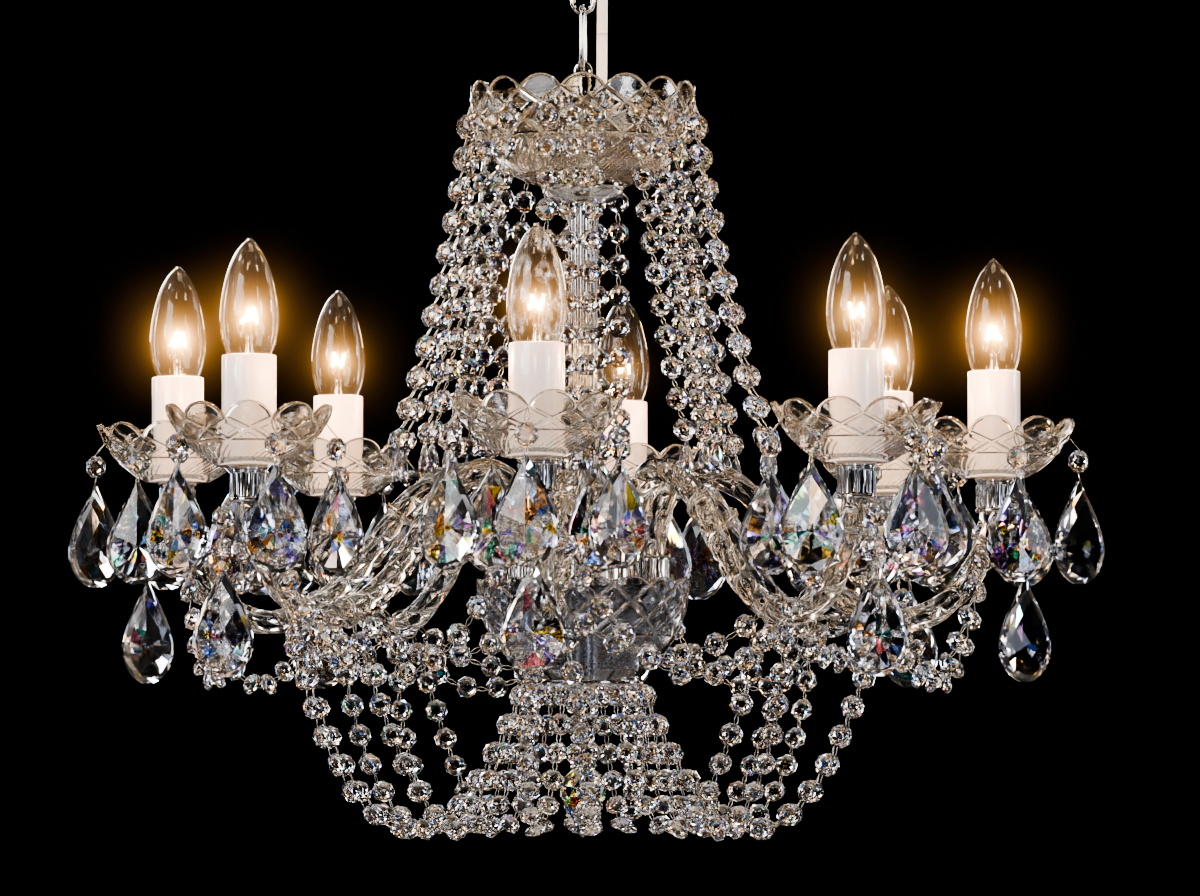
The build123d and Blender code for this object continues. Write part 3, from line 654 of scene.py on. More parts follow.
# A pin bent from one wire: a long flat loop from the hole of one crystal to the edge of the next
def wirePin(reach):
    before, after = bead["wireEnds"]
    start, end = before, reach + after
    line = [
        (bead["wireSpread"] * spread, bead["wireProud"] * proud, start + (end - start) * along)
        for spread, proud, along in bead["wireBends"]
    ]
    return tube(line, circle(bead["wire"], bead["wireSides"]), closed=True)


pear = {
    "height": 63.0, "width": 38.0, "thickness": 12.0, "hub": 0.62,
    "outline": [
        (0.0, 0.05), (0.04, 0.10), (0.09, 0.19), (0.16, 0.335), (0.24, 0.49), (0.33, 0.65), (0.42, 0.79),
        (0.51, 0.905), (0.59, 0.975), (0.66, 1.0), (0.73, 0.975), (0.80, 0.895), (0.865, 0.765), (0.92, 0.60),
        (0.962, 0.41), (0.99, 0.2),
    ],
    "front": [0.31, 0.50, 0.655, 0.79, 0.91],  # how far down the corners of the front's facets are
    "back": [0.13, 0.41, 0.58, 0.725, 0.855, 0.96],
    "ends": (0.03, 0.985),  # and the topmost and the lowest of them
    "bevel": (0.86, 0.5),  # how far in, and how thick there
    "tier": (0.45, 0.84), "edge": 0.18,
    # a facet's tone picks its painted rainbow tint
    "tones": (0.5, 0.7, 1.0),  # the most that a facet's tone may be: front, back bevel, rest of the back
    "swing": (0.62, 52.0, 9.0),
    # the wire loop that it hangs by, from behind its hole to past the hook
    "wireBends": [(0, -1.1, -2.6), (0.9, -0.8, 0), (0.8, 0, 4.4), (0, 0.7, 6.3), (-0.8, 0, 4.4), (-0.9, -0.8, 0)],
}
smallPear = dict(
    pear, height=20.0, width=12.0, thickness=6.4,
    outline=[(0.0, 0.12), (0.14, 0.32), (0.32, 0.62), (0.5, 0.86), (0.66, 0.99), (0.82, 0.84), (0.93, 0.5)],
)


# Joins two rings of different counts, each in order of its points' angle
def stitched(small, large, angleOf):
    a = sorted(small, key=angleOf)
    b = sorted(large, key=angleOf)
    faces, i, j = [], 0, 0
    while i < len(a) or j < len(b):
        nextA = angleOf(a[i % len(a)]) + 2 * math.pi * (i // len(a))
        nextB = angleOf(b[j % len(b)]) + 2 * math.pi * (j // len(b))
        if j >= len(b) or (i < len(a) and nextA <= nextB):
            faces.append((a[i % len(a)], b[j % len(b)], a[(i + 1) % len(a)]))
            i += 1
        else:
            faces.append((a[i % len(a)], b[j % len(b)], b[(j + 1) % len(b)]))
            j += 1
    return faces


# Turns each face of a crystal to look away from its middle
def outward(points, faces, middle):
    turned = []
    for face in faces:
        a, b, c = [Vector(points[i]) for i in face[:3]]
        away = (a + b + c) / 3 - Vector(middle)
        turned.append(face if (b - a).cross(c - b).dot(away) > 0 else tuple(reversed(face)))
    return points, turned


# A pear drop: a narrow girdle and a bevelled edge, broad facets on the front that meet at one point, and on the
# back a second fan of smaller ones, half a step round. Returned with how far each facet's painted rainbow tint may
# go.
def cutPear(size):
    half, height = size["thickness"] / 2, size["height"]
    shares, widths = zip(*size["outline"])
    hubZ = -size["hub"] * height

    def sidePoints(places, ends=()):
        right = [(np.interp(h, shares, widths) * size["width"] / 2, -h * height) for h in places]
        left = [(-x, z) for x, z in reversed(right)]
        tips = [[(0.0, -h * height)] for h in ends] or [[], []]
        return tips[0] + right + tips[1] + left

    def angleOf(i):
        return math.atan2(points[i][2] - hubZ, points[i][0]) % (2 * math.pi)

    def ringOf(line, inward, depth):
        start = len(points)
        points.extend((x * inward, depth, hubZ + (z - hubZ) * inward) for x, z in line)
        return list(range(start, len(points)))

    def fan(ring, depth):
        hub = len(points)
        points.append((0.0, depth, hubZ))
        return [(ring[k - 1], ring[k], hub) for k in range(len(ring))]

    points, faces, tones = [], [], []
    rim = sidePoints(shares)
    inward, thick = size["bevel"]
    tierIn, tierThick = size["tier"]
    front = ringOf(rim, 1, -half * size["edge"])
    back = ringOf(rim, 1, half * size["edge"])
    faces += [(front[k - 1], front[k], back[k], back[k - 1]) for k in range(len(rim))]
    facets = ringOf(sidePoints(size["front"], size["ends"]), inward, -half * thick)
    faces += stitched(facets, front, angleOf)
    faces += fan(facets, -half)
    tones += size["tones"][:1] * len(faces)
    outer = ringOf(sidePoints(size["back"]), inward, half * thick)
    faces += stitched(outer, back, angleOf)
    tones += size["tones"][1:2] * (len(faces) - len(tones))
    tier = ringOf(sidePoints(size["front"], size["ends"]), tierIn, half * tierThick)
    faces += stitched(tier, outer, angleOf)
    faces += fan(tier, half)
    tones += size["tones"][2:] * (len(faces) - len(tones))
    return outward(points, faces, (0, 0, hubZ)), tones


def axesMatrix(side, through, up, origin):
    matrix = Matrix((side, through, up)).transposed().to_4x4()
    matrix.translation = origin
    return matrix


# A solid's two hubs are the points where most edges meet. Returned with the rest of its points
def hubsOf(solid):
    ranked = [point for point, _ in sorted(solid, key=lambda item: -item[1])]
    return ranked[0], ranked[1], ranked[2:]


# Reads where a bead is, which way it looks, and where its pins end
def readBead(solid):
    front, back, others = hubsOf(solid)
    centre = (front + back) / 2
    through = (back - front).normalized()
    corners, tips = [], []
    for point in others:
        isCorner = abs((point - centre).length - bead["radius"]) < bead["cornerSlack"]
        (corners if isCorner else tips).append(point)
    least, most = bead["sideLength"]
    flats = [(a + b) / 2 - centre for a in corners for b in corners if least < (a - b).length < most]
    toTip = (tips[0] - centre).normalized()
    up = max(flats, key=lambda f: f.dot(toTip)).normalized()
    return axesMatrix(up.cross(through) * -1, through, up, centre), centre, through, tips


def readPear(solid, size):
    front, back, rim = hubsOf(solid)
    top, foot = max(
        ((a, b) for a in rim for b in rim), key=lambda pair: (pair[0] - pair[1]).length + pair[0].z * 1e-4
    )
    up = (top - foot).normalized()
    through = (back - front).normalized()
    return axesMatrix(up.cross(through) * -1, through, up, foot + up * size["height"])


cameraSide = Vector((math.sin(math.radians(view["azimuth"])), -math.cos(math.radians(view["azimuth"])), 0))


# Crystals swing round on their wires: most hang turned part of the way towards the front, none quite alike
def swungRound(matrix, share, most, wobble):
    seen = matrix.to_3x3().transposed() @ cameraSide
    turn = math.degrees(math.atan2(seen.x, -seen.y))
    if abs(turn) > 90:
        turn -= math.copysign(180, turn)
    turn = max(-most, min(most, turn * share)) + chance.uniform(-wobble, wobble)
    return matrix @ Matrix.Rotation(math.radians(turn), 4, "Z")


octagon, octagonTones = octagonCrystal()
largePear, largePearTones = cutPear(pear)
endPear, endPearTones = cutPear(smallPear)
pearPin = tube(pear["wireBends"], circle(bead["wire"], bead["wireSides"]), closed=True)


# A bead of the model, cut as a crystal, and its wire pins
def strungBead(solid):
    matrix, centre, through, tips = readBead(solid)
    crystal = placed(octagon, swungRound(matrix, *bead["swing"]))
    pins = []
    for tip in tips:
        run = tip - centre
        up = (run - through * run.dot(through)).normalized()
        hole = centre + up * bead["holeAt"]
        lean = (tip - hole).normalized()
        side = through.cross(lean).normalized()
        matrix = axesMatrix(side, lean.cross(side), lean, hole)
        pins.append(placed(wirePin((tip - hole).length), matrix))
    return crystal, pins


def hungPear(solid):
    matrix = readPear(solid, pear)
    return placed(largePear, swungRound(matrix, *pear["swing"])), placed(pearPin, matrix)


def makeStrands(nodeName, name):
    crystals, pins = [], []
    for solid in solidsOf(nodeName):
        crystal, beadPins = strungBead(solid)
        crystals.append(crystal)
        pins += beadPins
    crystalPiece(name + "Crystals", crystals, beadCrystal, octagonTones, [nodeName])
    wirePiece(name + "Pins", pins)


makeStrands("upper_strands", "upperStrand")
makeStrands("lower_strands", "lowerStrand")
makeStrands("garlands", "garland")


def makeDrops():
    crystals, pears, pins = [], [], []
    for solid in solidsOf("bobeche_drops"):
        if len(solid) > bead["mostPoints"]:
            drop, pin = hungPear(solid)
            pears.append(drop)
            pins.append(pin)
        else:
            crystal, beadPins = strungBead(solid)
            crystals.append(crystal)
            pins += beadPins
    crystalPiece("dishDropBeads", crystals, beadCrystal, octagonTones, ["bobeche_drops"])
    crystalPiece("dishDropPears", pears, pearCrystal, largePearTones)
    ends = [placed(endPear, readPear(solid, smallPear)) for solid in solidsOf("strand_pears")]
    crystalPiece("strandEndPears", ends, pearCrystal, endPearTones, ["strand_pears"])
    wirePiece("dishDropPins", pins)
    for k in range(1, layout["arms"] + 1):
        node, body = f"low_drop_{k}", f"low_drop_body_{k}"
        drop, pin = hungPear(solidsOf(node)[0])
        crystalPiece(f"lowPear{k}", [drop], pearCrystal, largePearTones, [node], body)
        wirePiece(f"lowPearPin{k}", [pin], body=body)


makeDrops()
print("crystals strung")


# Glass dishes. Their side is a grid of windows: a row of petals round the rim, then rows of diamonds,
# each window with a raised frame and sunk steps, and below them a finely hatched foot.
topDish = {
    "node": "top_dish", "name": "topDish",
    "rim": (69.0, -142.0), "base": (30.0, -203.0), "bulge": 14.0, "wall": 4.0, "hole": 9.3,
    "petals": 16, "petalHeight": 8.0, "firstValley": -90 + 6.0 + 180 / 16,
    "rows": 3, "rowStep": 9.4, "hatch": 88, "hatchDepth": 0.5,
}
lowerBowl = {
    "node": "lower_bowl", "name": "lowerBowl",
    "rim": (65.0, -445.0), "base": (26.0, -507.0), "bulge": 12.0, "wall": 4.0, "hole": 9.3,
    "petals": 16, "petalHeight": 5.0, "firstValley": -90.0,
    "rows": 3, "rowStep": 10.5, "hatch": 80, "hatchDepth": 0.12,
}
dripDish = {
    "name": "dripDish",
    "rim": (50.0, -350.0), "base": (19.0, -385.0), "bulge": 5.0, "wall": 3.0, "hole": 5.0,
    "petals": 10, "petalHeight": 9.0, "firstValley": 0.0,
    "rows": 2, "rowStep": 6.6, "hatch": 50, "hatchDepth": 0.45,
}
window = {
    # each step: how far in, how deep in mm, and how much of a bright edge it is
    "steps": [
        (1.0, 0.0, 1.0), (0.9, 0.0, 1.0), (0.76, -1.1, 0.0), (0.5, -0.75, 0.0), (0.44, -0.4, 0.25), (0.0, -0.1, 0.0),
    ],
    "petalSteps": [(1.0, 0.0, 1.0), (0.91, 0.0, 1.0), (0.82, -0.9, 0.0), (0.4, -1.1, 0.0), (0.0, -1.2, 0.0)],
    "proud": -0.05,  # mm off the model's side
    "arcPoints": 10, "petalSidePoints": 4, "sidePoints": 3,
    "petalMiddle": (0.18, 0.22),  # up by this share of the petal, down by this share of a row
    "lastMiddle": 0.34,  # the last row's triangles: up by this share of a row
    "hatchPitch": 3.6, "hatchPoints": 4, "insideRows": 14, "insideCurve": 1.25,
    "insideEdge": (0.86, 0.5),  # the lip's two inner lines, as shares of the wall
}


def dishSide(dish, height):
    rimRadius, rimZ = dish["rim"]
    baseRadius, baseZ = dish["base"]
    run, rise = rimRadius - baseRadius, rimZ - baseZ
    chord = math.hypot(run, rise)
    arc = ((chord / 2) ** 2 + dish["bulge"] ** 2) / (2 * dish["bulge"])
    centreX = (rimRadius + baseRadius) / 2 - (arc - dish["bulge"]) * rise / chord
    centreZ = (rimZ + baseZ) / 2 + (arc - dish["bulge"]) * run / chord
    reach = math.sqrt(max(arc**2 - (height - centreZ) ** 2, 0))
    return centreX + reach, Vector((reach, 0, height - centreZ)).normalized()


# A point of the dish's side: turn in steps of half a petal, height, and how far it stands off the side
def sidePoint(dish, turn, height, proud):
    radius, normal = dishSide(dish, height)
    angle = math.radians(dish["firstValley"]) + turn * math.pi / dish["petals"]
    r = radius + normal.x * proud
    return (r * math.cos(angle), r * math.sin(angle), height + normal.z * proud)


def cutDish(dish):
    points, faces, ridges = [], [], []
    proud, wall = window["proud"], dish["wall"]

    def addPoint(p, ridge=0.0):
        points.append(p)
        ridges.append(ridge)
        return len(points) - 1

    def angleOf(i):
        return math.atan2(points[i][1], points[i][0])

    def addWindow(loop, middle, steps):
        rings = []
        for scale, sunk, ridge in steps[:-1]:
            rings.append([
                addPoint(sidePoint(
                    dish, middle[0] + (t - middle[0]) * scale, middle[1] + (z - middle[1]) * scale, proud + sunk
                ), ridge)
                for t, z in reversed(loop)
            ])
        for outer, inner in zip(rings, rings[1:]):
            faces.extend(band(outer, inner))
        hub, last = addPoint(sidePoint(dish, *middle, proud + steps[-1][1])), rings[-1]
        faces.extend((last[k], last[(k + 1) % len(last)], hub) for k in range(len(last)))

    petals, height = dish["petals"], dish["petalHeight"]
    rimZ, baseZ = dish["rim"][1], dish["base"][1]
    valleyZ = rimZ - height
    half = dish["rim"][0] * math.sin(math.pi / petals)
    arcRadius = (half**2 + height**2) / (2 * height)

    def topAt(turn):  # the height of the petal's arc, turn from -1 to 1 across it
        return rimZ - (arcRadius - math.sqrt(arcRadius**2 - (half * turn) ** 2))

    def mixed(a, b, count):
        return [(a[0] + (b[0] - a[0]) * k / count, a[1] + (b[1] - a[1]) * k / count) for k in range(count)]

    count, sideCount = window["arcPoints"], window["petalSidePoints"]
    up, down = window["petalMiddle"]
    step = dish["rowStep"]
    for k in range(petals):
        centre = 2 * k + 1
        arc = [(centre - 1 + 2 * i / count, topAt(2 * i / count - 1)) for i in range(count)]
        under = (centre, valleyZ - step)
        right, left = mixed((centre + 1, valleyZ), under, sideCount), mixed(under, (centre - 1, valleyZ), sideCount)
        addWindow(arc + right + left, (centre, valleyZ + height * up - step * down), window["petalSteps"])
    for row in range(dish["rows"]):
        midZ = valleyZ - step * (row + 1)
        for k in range(petals):
            centre = 2 * k + (row % 2)
            corners = [(centre, midZ + step), (centre + 1, midZ), (centre, midZ - step), (centre - 1, midZ)]
            middle = (centre, midZ)
            if row == dish["rows"] - 1:  # the last row is cut off level
                del corners[2]
                middle = (centre, midZ + step * window["lastMiddle"])
            loop = []
            for a, b in zip(corners, corners[1:] + corners[:1]):
                loop += mixed(a, b, window["sidePoints"])
            addWindow(loop, middle, window["steps"])
    footZ = valleyZ - step * dish["rows"]
    columns = dish["hatch"] * window["hatchPoints"]
    rows = window["hatchPoints"] * round((footZ - baseZ) / window["hatchPitch"])
    hatchRows = range(2, rows - 3)
    grid = []
    for i in range(rows + 1):
        z = footZ + (baseZ - footZ) * i / rows
        ring = []
        for k in range(columns):
            turn = 2 * petals * k / columns + (dish["rows"] + 1) % 2
            cut = 0.5 + 0.5 * math.sin(math.pi / 2 * (k + i))
            sunk = dish["hatchDepth"] * cut * (i in hatchRows)
            ring.append(addPoint(sidePoint(dish, turn, z, proud - sunk), dish["hatchDepth"] * (1 - cut)))
        grid.append(ring)
    for high, low in zip(grid, grid[1:]):
        faces += band(high, low, flip=True)
    foot = [
        addPoint((dish["hole"] * math.cos(a), dish["hole"] * math.sin(a), baseZ)) for a in map(angleOf, grid[-1])
    ]
    floor = [addPoint((points[i][0], points[i][1], baseZ + wall)) for i in foot]
    turns = [2 * k + i / count for k in range(petals) for i in range(2 * count)]
    tops = [topAt(turn % 2 - 1) for turn in turns]
    lip, edgeAt = window["insideEdge"]
    inner = []
    for i in range(window["insideRows"] + 1):
        share = i / window["insideRows"]
        inward = wall * (1.0 if share < 1 else lip)
        heights = [baseZ + wall + (top - baseZ - wall) * share ** window["insideCurve"] for top in tops]
        inner.append([addPoint(sidePoint(dish, turn, z, -inward)) for turn, z in zip(turns, heights)])
    edge = [addPoint(sidePoint(dish, turn, top, -wall * edgeAt), 1.0) for turn, top in zip(turns, tops)]
    outerTop = [addPoint(sidePoint(dish, turn, top, proud), 1.0) for turn, top in zip(turns, tops)]
    for low, high in [*zip(inner, inner[1:]), (edge, outerTop), (inner[-1], edge), (grid[-1], foot), (foot, floor)]:
        faces += band(low, high, flip=True)
    # the floor inside, from the hole out to the first inner ring
    faces += stitched(floor, inner[0], lambda i: angleOf(i) % (2 * math.pi))
    return (points, faces), ridges


def makeDishes():
    def finished(name, part, ridges, node, glass=dishGlass):
        piece = meshPiece(name, part, glass, "chandelier", [node], shadow=False)
        layer = piece.data.attributes.new("ridge", "FLOAT", "POINT")  # where the cutting leaves a bright edge
        layer.data.foreach_set("value", np.array(ridges, np.float32))
        welded(piece, 0.02, 14)

    for dish, glass in ((topDish, dishGlass), (lowerBowl, bowlGlass)):
        finished(dish["name"], *cutDish(dish), dish["node"], glass)
    part, ridges = cutDish(dripDish)
    for k, angle in enumerate(armAngles):
        turned = placed(atLamp(part), Matrix.Rotation(angle, 4, "Z"))
        finished(f"{dripDish['name']}{k + 1}", turned, ridges, f"bobeche_{k + 1}")


makeDishes()
print("dishes cut")


# Arms: four round lobes twisted into a rope of glass, on the same line as the model's
arm = {
    "root": (42.0, -447.9), "humpIn": (42.0, -352.9), "middle": (122.0, -417.0), "slope": 57.0,
    "humpPull": 50.0, "dipPull": 118.0, "end": (251.0, -388.1), "endPull": 74.0,
    "measures": 300,  # points on each half of the line, from which the even spans are measured
    "spans": 150, "turns": 2.75, "lobes": 4, "lobeRoundness": 0.8, "outer": 7.9, "valley": 5.9,
    "sides": 40,
}


def bezier(a, b, c, d, t):
    s = 1 - t
    return a * s**3 + b * (3 * s * s * t) + c * (3 * s * t * t) + d * t**3


def armLine():
    root, humpIn, middle, end = [Vector((arm[k][0], 0, arm[k][1])) for k in ("root", "humpIn", "middle", "end")]
    fall = math.radians(arm["slope"])
    down = Vector((math.cos(fall), 0, -math.sin(fall)))
    first = [root, humpIn, middle - down * arm["humpPull"], middle]
    second = [middle, middle + down * arm["dipPull"], end - Vector((0, 0, arm["endPull"])), end]
    count = arm["measures"]
    fine = [bezier(*half, k / count) for half in (first, second) for k in range(count)] + [end]
    along = [0.0]
    for a, b in zip(fine, fine[1:]):
        along.append(along[-1] + (b - a).length)
    line, i = [], 0
    for k in range(arm["spans"] + 1):
        want = along[-1] * k / arm["spans"]
        while i < len(along) - 2 and along[i + 1] < want:
            i += 1
        share = (want - along[i]) / (along[i + 1] - along[i])
        line.append(fine[i].lerp(fine[i + 1], min(share, 1)))
    return line


def ropeOutline(share):
    twist = 2 * math.pi * arm["turns"] * share
    outline = []
    for k in range(arm["sides"]):
        angle = 2 * math.pi * k / arm["sides"]
        lobe = abs(math.cos(angle * arm["lobes"] / 2)) ** arm["lobeRoundness"]
        radius = arm["valley"] + (arm["outer"] - arm["valley"]) * lobe
        outline.append((radius * math.cos(angle + twist), radius * math.sin(angle + twist)))
    return outline


def makeArms():
    part = tube(armLine(), ropeOutline, side=Vector((0, 1, 0)))
    for k, angle in enumerate(armAngles):
        turned = placed(part, Matrix.Rotation(angle, 4, "Z"))
        meshPiece(
            f"glassArm{k + 1}", turned, armGlass, "chandelier", [f"glass_arm_{k + 1}"], shadow=False
        )


makeArms()
print("arms drawn")


# Lamps: a clear candle bulb with its cap, glass stem and lit filament, and the plastic sleeve round its holder
lamp = {
    "profile": [
        (0.9, -251.1), (1.7, -251.9), (2.6, -253.0), (5.2, -255.6), (7.6, -258.8), (9.6, -262.4), (11.4, -266.4),
        (13.0, -271.0), (14.4, -276.0), (15.6, -281.4), (16.6, -287.2), (17.2, -293.0), (17.45, -298.6),
        (17.2, -303.6), (16.6, -308.4), (15.6, -313.0), (14.2, -317.2), (12.8, -320.6), (10.4, -324.0), (7.0, -327.2),
    ],
    "profileSteps": 4, "tipRound": 0.05,
    "tipRadius": 3.0,  # nearer to the middle than this, the shell's thickness is upward
    "shell": 0.45, "sides": 48,
    "stem": [(5.5, -327.0), (3.6, -322.0), (2.3, -316.0), (2.0, -311.0), (2.6, -308.5), (0.0, -307.6)],
}
lampCap = {
    "radius": 6.9, "top": -326.0, "foot": -353.0, "shoulder": 1.0, "pitch": 2.6,
    "thread": [(0.1, 0.9), (0.9, 1.9)],  # crest and root: how far in, and how far down each turn
    "plain": 5.0,  # the length at the foot without thread
    "contact": [(4.9, 3.0), (2.6, 1.2), (2.2, 0.1), (0.0, 0.05)],  # radius, and height over the foot
}
filament = {
    "legs": 5, "legTurn": 0.3, "foot": (1.2, -309.5), "top": (5.2, -297.0),
    "legReach": (0.95, 0.75),  # every other leg is shorter, and reaches higher
    "legRise": (-3.6, 4.6), "legSag": 0.8, "legWire": 0.2, "coilWire": 0.5,
    "coilSteps": 16,  # between two legs
    "coilWaves": 4, "coilWave": 0.55, "coilSag": 0.96,
}
sleeve = {"radius": 16.0, "wall": 1.2, "foot": -381.9, "top": -320.0, "lip": 0.45, "sides": 64, "crease": 50}


def bulbShape():
    shell = lamp["shell"]
    outer = [(p[0], p[1]) for p in eased([(r, z, 0) for r, z in lamp["profile"]], lamp["profileSteps"])]
    outer[0] = (0.0, lamp["profile"][0][1] + lamp["tipRound"])
    inner = [(max(r - shell, 0.0), z - (shell if r < lamp["tipRadius"] else 0)) for r, z in outer]
    inner[0] = (0.0, inner[0][1])
    return turnedShape(inner + outer[::-1], lamp["sides"])


def capShape():
    radius, z, foot = lampCap["radius"], lampCap["top"], lampCap["foot"]
    profile = [(0.0, z), (radius - lampCap["shoulder"], z)]
    while z > foot + lampCap["plain"]:
        profile += [(radius - inward, z - down) for inward, down in lampCap["thread"]]
        z -= lampCap["pitch"]
    profile += [(r, foot + up) for r, up in lampCap["contact"]]
    return turnedShape(profile[::-1], 28)


def filamentShapes():
    footRadius, footZ = filament["foot"]
    topRadius, topZ = filament["top"]
    legs, hooks = [], []
    for k in range(filament["legs"]):
        angle = 2 * math.pi * k / filament["legs"] + filament["legTurn"]
        a = Vector((footRadius * math.cos(angle), footRadius * math.sin(angle), footZ))
        reach = topRadius * filament["legReach"][k % 2]
        b = Vector((reach * math.cos(angle), reach * math.sin(angle), topZ + filament["legRise"][k % 2]))
        middle = a.lerp(b, 0.5) - Vector((0, 0, filament["legSag"]))
        legs.append(tube([a, middle, b], circle(filament["legWire"], 5)))
        hooks.append(b)
    coil, steps = [], filament["coilSteps"]
    for a, b in zip(hooks, hooks[1:]):
        for t in [i / steps for i in range(steps)]:
            wave = filament["coilWave"] * math.sin(2 * math.pi * filament["coilWaves"] * t)
            coil.append(a.lerp(b, t) + Vector((0, 0, wave - filament["coilSag"] * math.sin(math.pi * t))))
    coil.append(hooks[-1])
    return joined(legs), tube(coil, circle(filament["coilWire"], 6))


def makeLamps():
    legs, coil = filamentShapes()
    glassStem = turnedShape(lamp["stem"][::-1], 20)
    # name, shape, material, slot, nodes it stands for, and whether it casts a shadow
    pieces = [
        ("bulbGlass", bulbShape(), lampGlass, "bulb_glass", ["bulb_"], False),
        ("bulbStem", glassStem, lampGlass, "bulb_glass", [], False),
        ("bulbCap", capShape(), nickelWire, "chrome_metal", [], True),
        ("bulbLegs", legs, nickelWire, "chrome_metal", [], False),
        ("filament", coil, tungsten, "bulb_glass", [], False),
    ]
    for n, angle in enumerate(armAngles, 1):
        turn = Matrix.Rotation(angle, 4, "Z")
        for name, part, material, slot, stands, shadow in pieces:
            piece = meshPiece(
                f"{name}{n}", placed(atLamp(part), turn), material, f"bulb_body_{n}",
                [f"{node}{n}" for node in stands], shadow=shadow,
            )
            piece.pass_index = int(name == "bulbGlass")  # the glow is kept to these pieces
    radius, wall, foot, top, lip = [sleeve[k] for k in ("radius", "wall", "foot", "top", "lip")]
    bore = radius - wall
    profile = [
        (bore, foot), (radius - lip, foot), (radius, foot + lip), (radius, top - lip * 1.6),
        (radius - lip * 0.5, top - lip * 0.4), (radius - wall / 2, top), (bore + lip / 3, top - lip * 0.5),
        (bore, top - lip * 1.6),
    ]
    shape = aroundStem(atLamp(turnedShape(profile, sleeve["sides"], closed=True)))
    piece = meshPiece("candleSleeves", shape, sleevePlastic, "chandelier", ["candle_sleeves"])
    sharpened(piece, sleeve["crease"])
    refinish("lamp_holders", holderPlastic)


makeLamps()
print("lamps lit")


# Chrome fittings, all turned or bent: ribbed cups, stem, plate, ring, hook and chain. Profiles are (radius, height).
# The cup has its closed end at z = 0 and its mouth at -height: bead, waist, ribs, and a rolled mouth.
cup = {
    "radius": 11.9, "height": 21.0, "floor": 3.0, "bore": 9.4,
    # how far in from the radius, and how far down from the closed end, or up from the mouth
    "closedEnd": [(1.2, 0.0), (0.3, 0.4), (0.0, 1.2), (0.3, 2.0), (1.4, 2.6), (1.6, 3.2), (0.5, 4.2), (0.4, 5.0)],
    "mouth": [(0.4, 4.2), (0.9, 3.2), (0.9, 2.6), (0.2, 2.0), (0.0, 1.2), (0.4, 0.3), (1.0, 0.0)],
    "mouthBevel": (0.3, 0.6), "ribs": 18, "ribDepth": 0.75, "ribSharpness": 0.7,
    "ribEnds": (4.4, 4.0),  # how far the ribs stop short of the closed end and the mouth
    "ribRadius": 8.0,  # only what is wider than this is ribbed
    "sides": 144, "endZ": -385.0, "rootAt": (42.0, -451.0),
    "nipple": [(0.0, -385.5), (4.7, -385.5), (4.7, -382.2), (4.4, -382.0), (0.0, -382.0)],
}


def cupRib(radius, height, angle):
    below, above = cup["ribEnds"]
    if above - cup["height"] < height < -below and radius > cup["ribRadius"]:
        return radius - cup["ribDepth"] * (0.5 - 0.5 * math.cos(cup["ribs"] * angle)) ** cup["ribSharpness"]
    return radius


def makeCups():
    radius, bore, mouth = cup["radius"], cup["bore"], -cup["height"]
    bevelOut, bevelUp = cup["mouthBevel"]
    profile = [(0.0, 0.0)] + [(radius - inward, -down) for inward, down in cup["closedEnd"]]
    profile += [(radius - inward, mouth + up) for inward, up in cup["mouth"]]
    profile += [(bore + bevelOut, mouth), (bore, mouth + bevelUp), (bore, -cup["floor"]), (0.0, -cup["floor"])]
    shape = turnedShape(profile[::-1], cup["sides"], cupRib)
    end = joined([
        placed(shape, Matrix.Translation((layout["lampRadius"], 0, cup["endZ"]))),
        atLamp(turnedShape(cup["nipple"], 24)),
    ])
    rootRadius, rootZ = cup["rootAt"]
    root = placed(shape, Matrix.Translation((rootRadius, 0, rootZ)) @ Matrix.Rotation(math.pi, 4, "X"))
    chromePiece("armEndCups", [aroundStem(end)], "arm_end_cups")
    chromePiece("armRootCups", [aroundStem(root)], "arm_root_cups")


stem = {
    "outer": 9.0, "bore": 5.0, "top": -165.0, "foot": -451.0, "rows": 30, "sides": 96, "flutes": 12,
    "fluteDepth": 1.2, "fluteSharpness": 0.7,
    "cap": [
        (0.0, -150.0), (15.6, -150.0), (16.3, -150.4), (16.5, -151.2), (16.5, -152.4), (16.0, -153.0), (16.3, -153.8),
        (16.4, -155.6), (15.6, -159.0), (14.0, -163.5), (12.9, -168.0), (12.6, -172.0), (13.1, -175.0),
        (13.0, -177.0), (12.2, -177.8), (12.4, -178.8), (12.0, -180.0), (9.1, -180.0), (9.1, -165.0), (0.0, -165.0),
    ],
    "seat": [
        (9.1, -203.1), (25.3, -203.1), (26.0, -203.8), (26.0, -205.4), (25.4, -206.2), (24.6, -206.8), (24.9, -207.8),
        (23.0, -210.2), (19.0, -213.0), (15.5, -214.6), (14.6, -215.6), (14.0, -217.0), (9.1, -217.0),
    ],
    "plate": [
        (5.0, -451.0), (53.4, -451.0), (54.6, -451.4), (54.9, -452.2), (54.9, -453.4), (54.4, -454.4), (53.0, -455.0),
        (20.0, -455.0), (12.0, -455.6), (9.2, -458.0), (9.0, -462.0), (9.0, -507.0), (5.0, -507.0),
    ],
}


def fluted(radius, height, angle):
    if radius < stem["outer"]:
        return radius
    lobe = abs(math.cos(stem["flutes"] * angle / 2)) ** stem["fluteSharpness"]
    return radius - stem["fluteDepth"] * (1 - lobe)


def makeStem():
    outer, bore, top, foot, rows = [stem[k] for k in ("outer", "bore", "top", "foot", "rows")]
    side = [(outer, foot + (top - foot) * k / rows) for k in range(rows + 1)]
    shape = turnedShape(side + [(bore, top), (bore, foot)], stem["sides"], fluted, closed=True)
    chromePiece("stemTube", [shape], "stem_tube")
    chromePiece("stemCap", [turnedShape(stem["cap"][::-1], 64)], "stem_cap")
    chromePiece("dishSeat", [turnedShape(stem["seat"][::-1], 64, closed=True)], "dish_seat")
    chromePiece("armPlate", [turnedShape(stem["plate"][::-1], 96, closed=True)], "arm_plate")


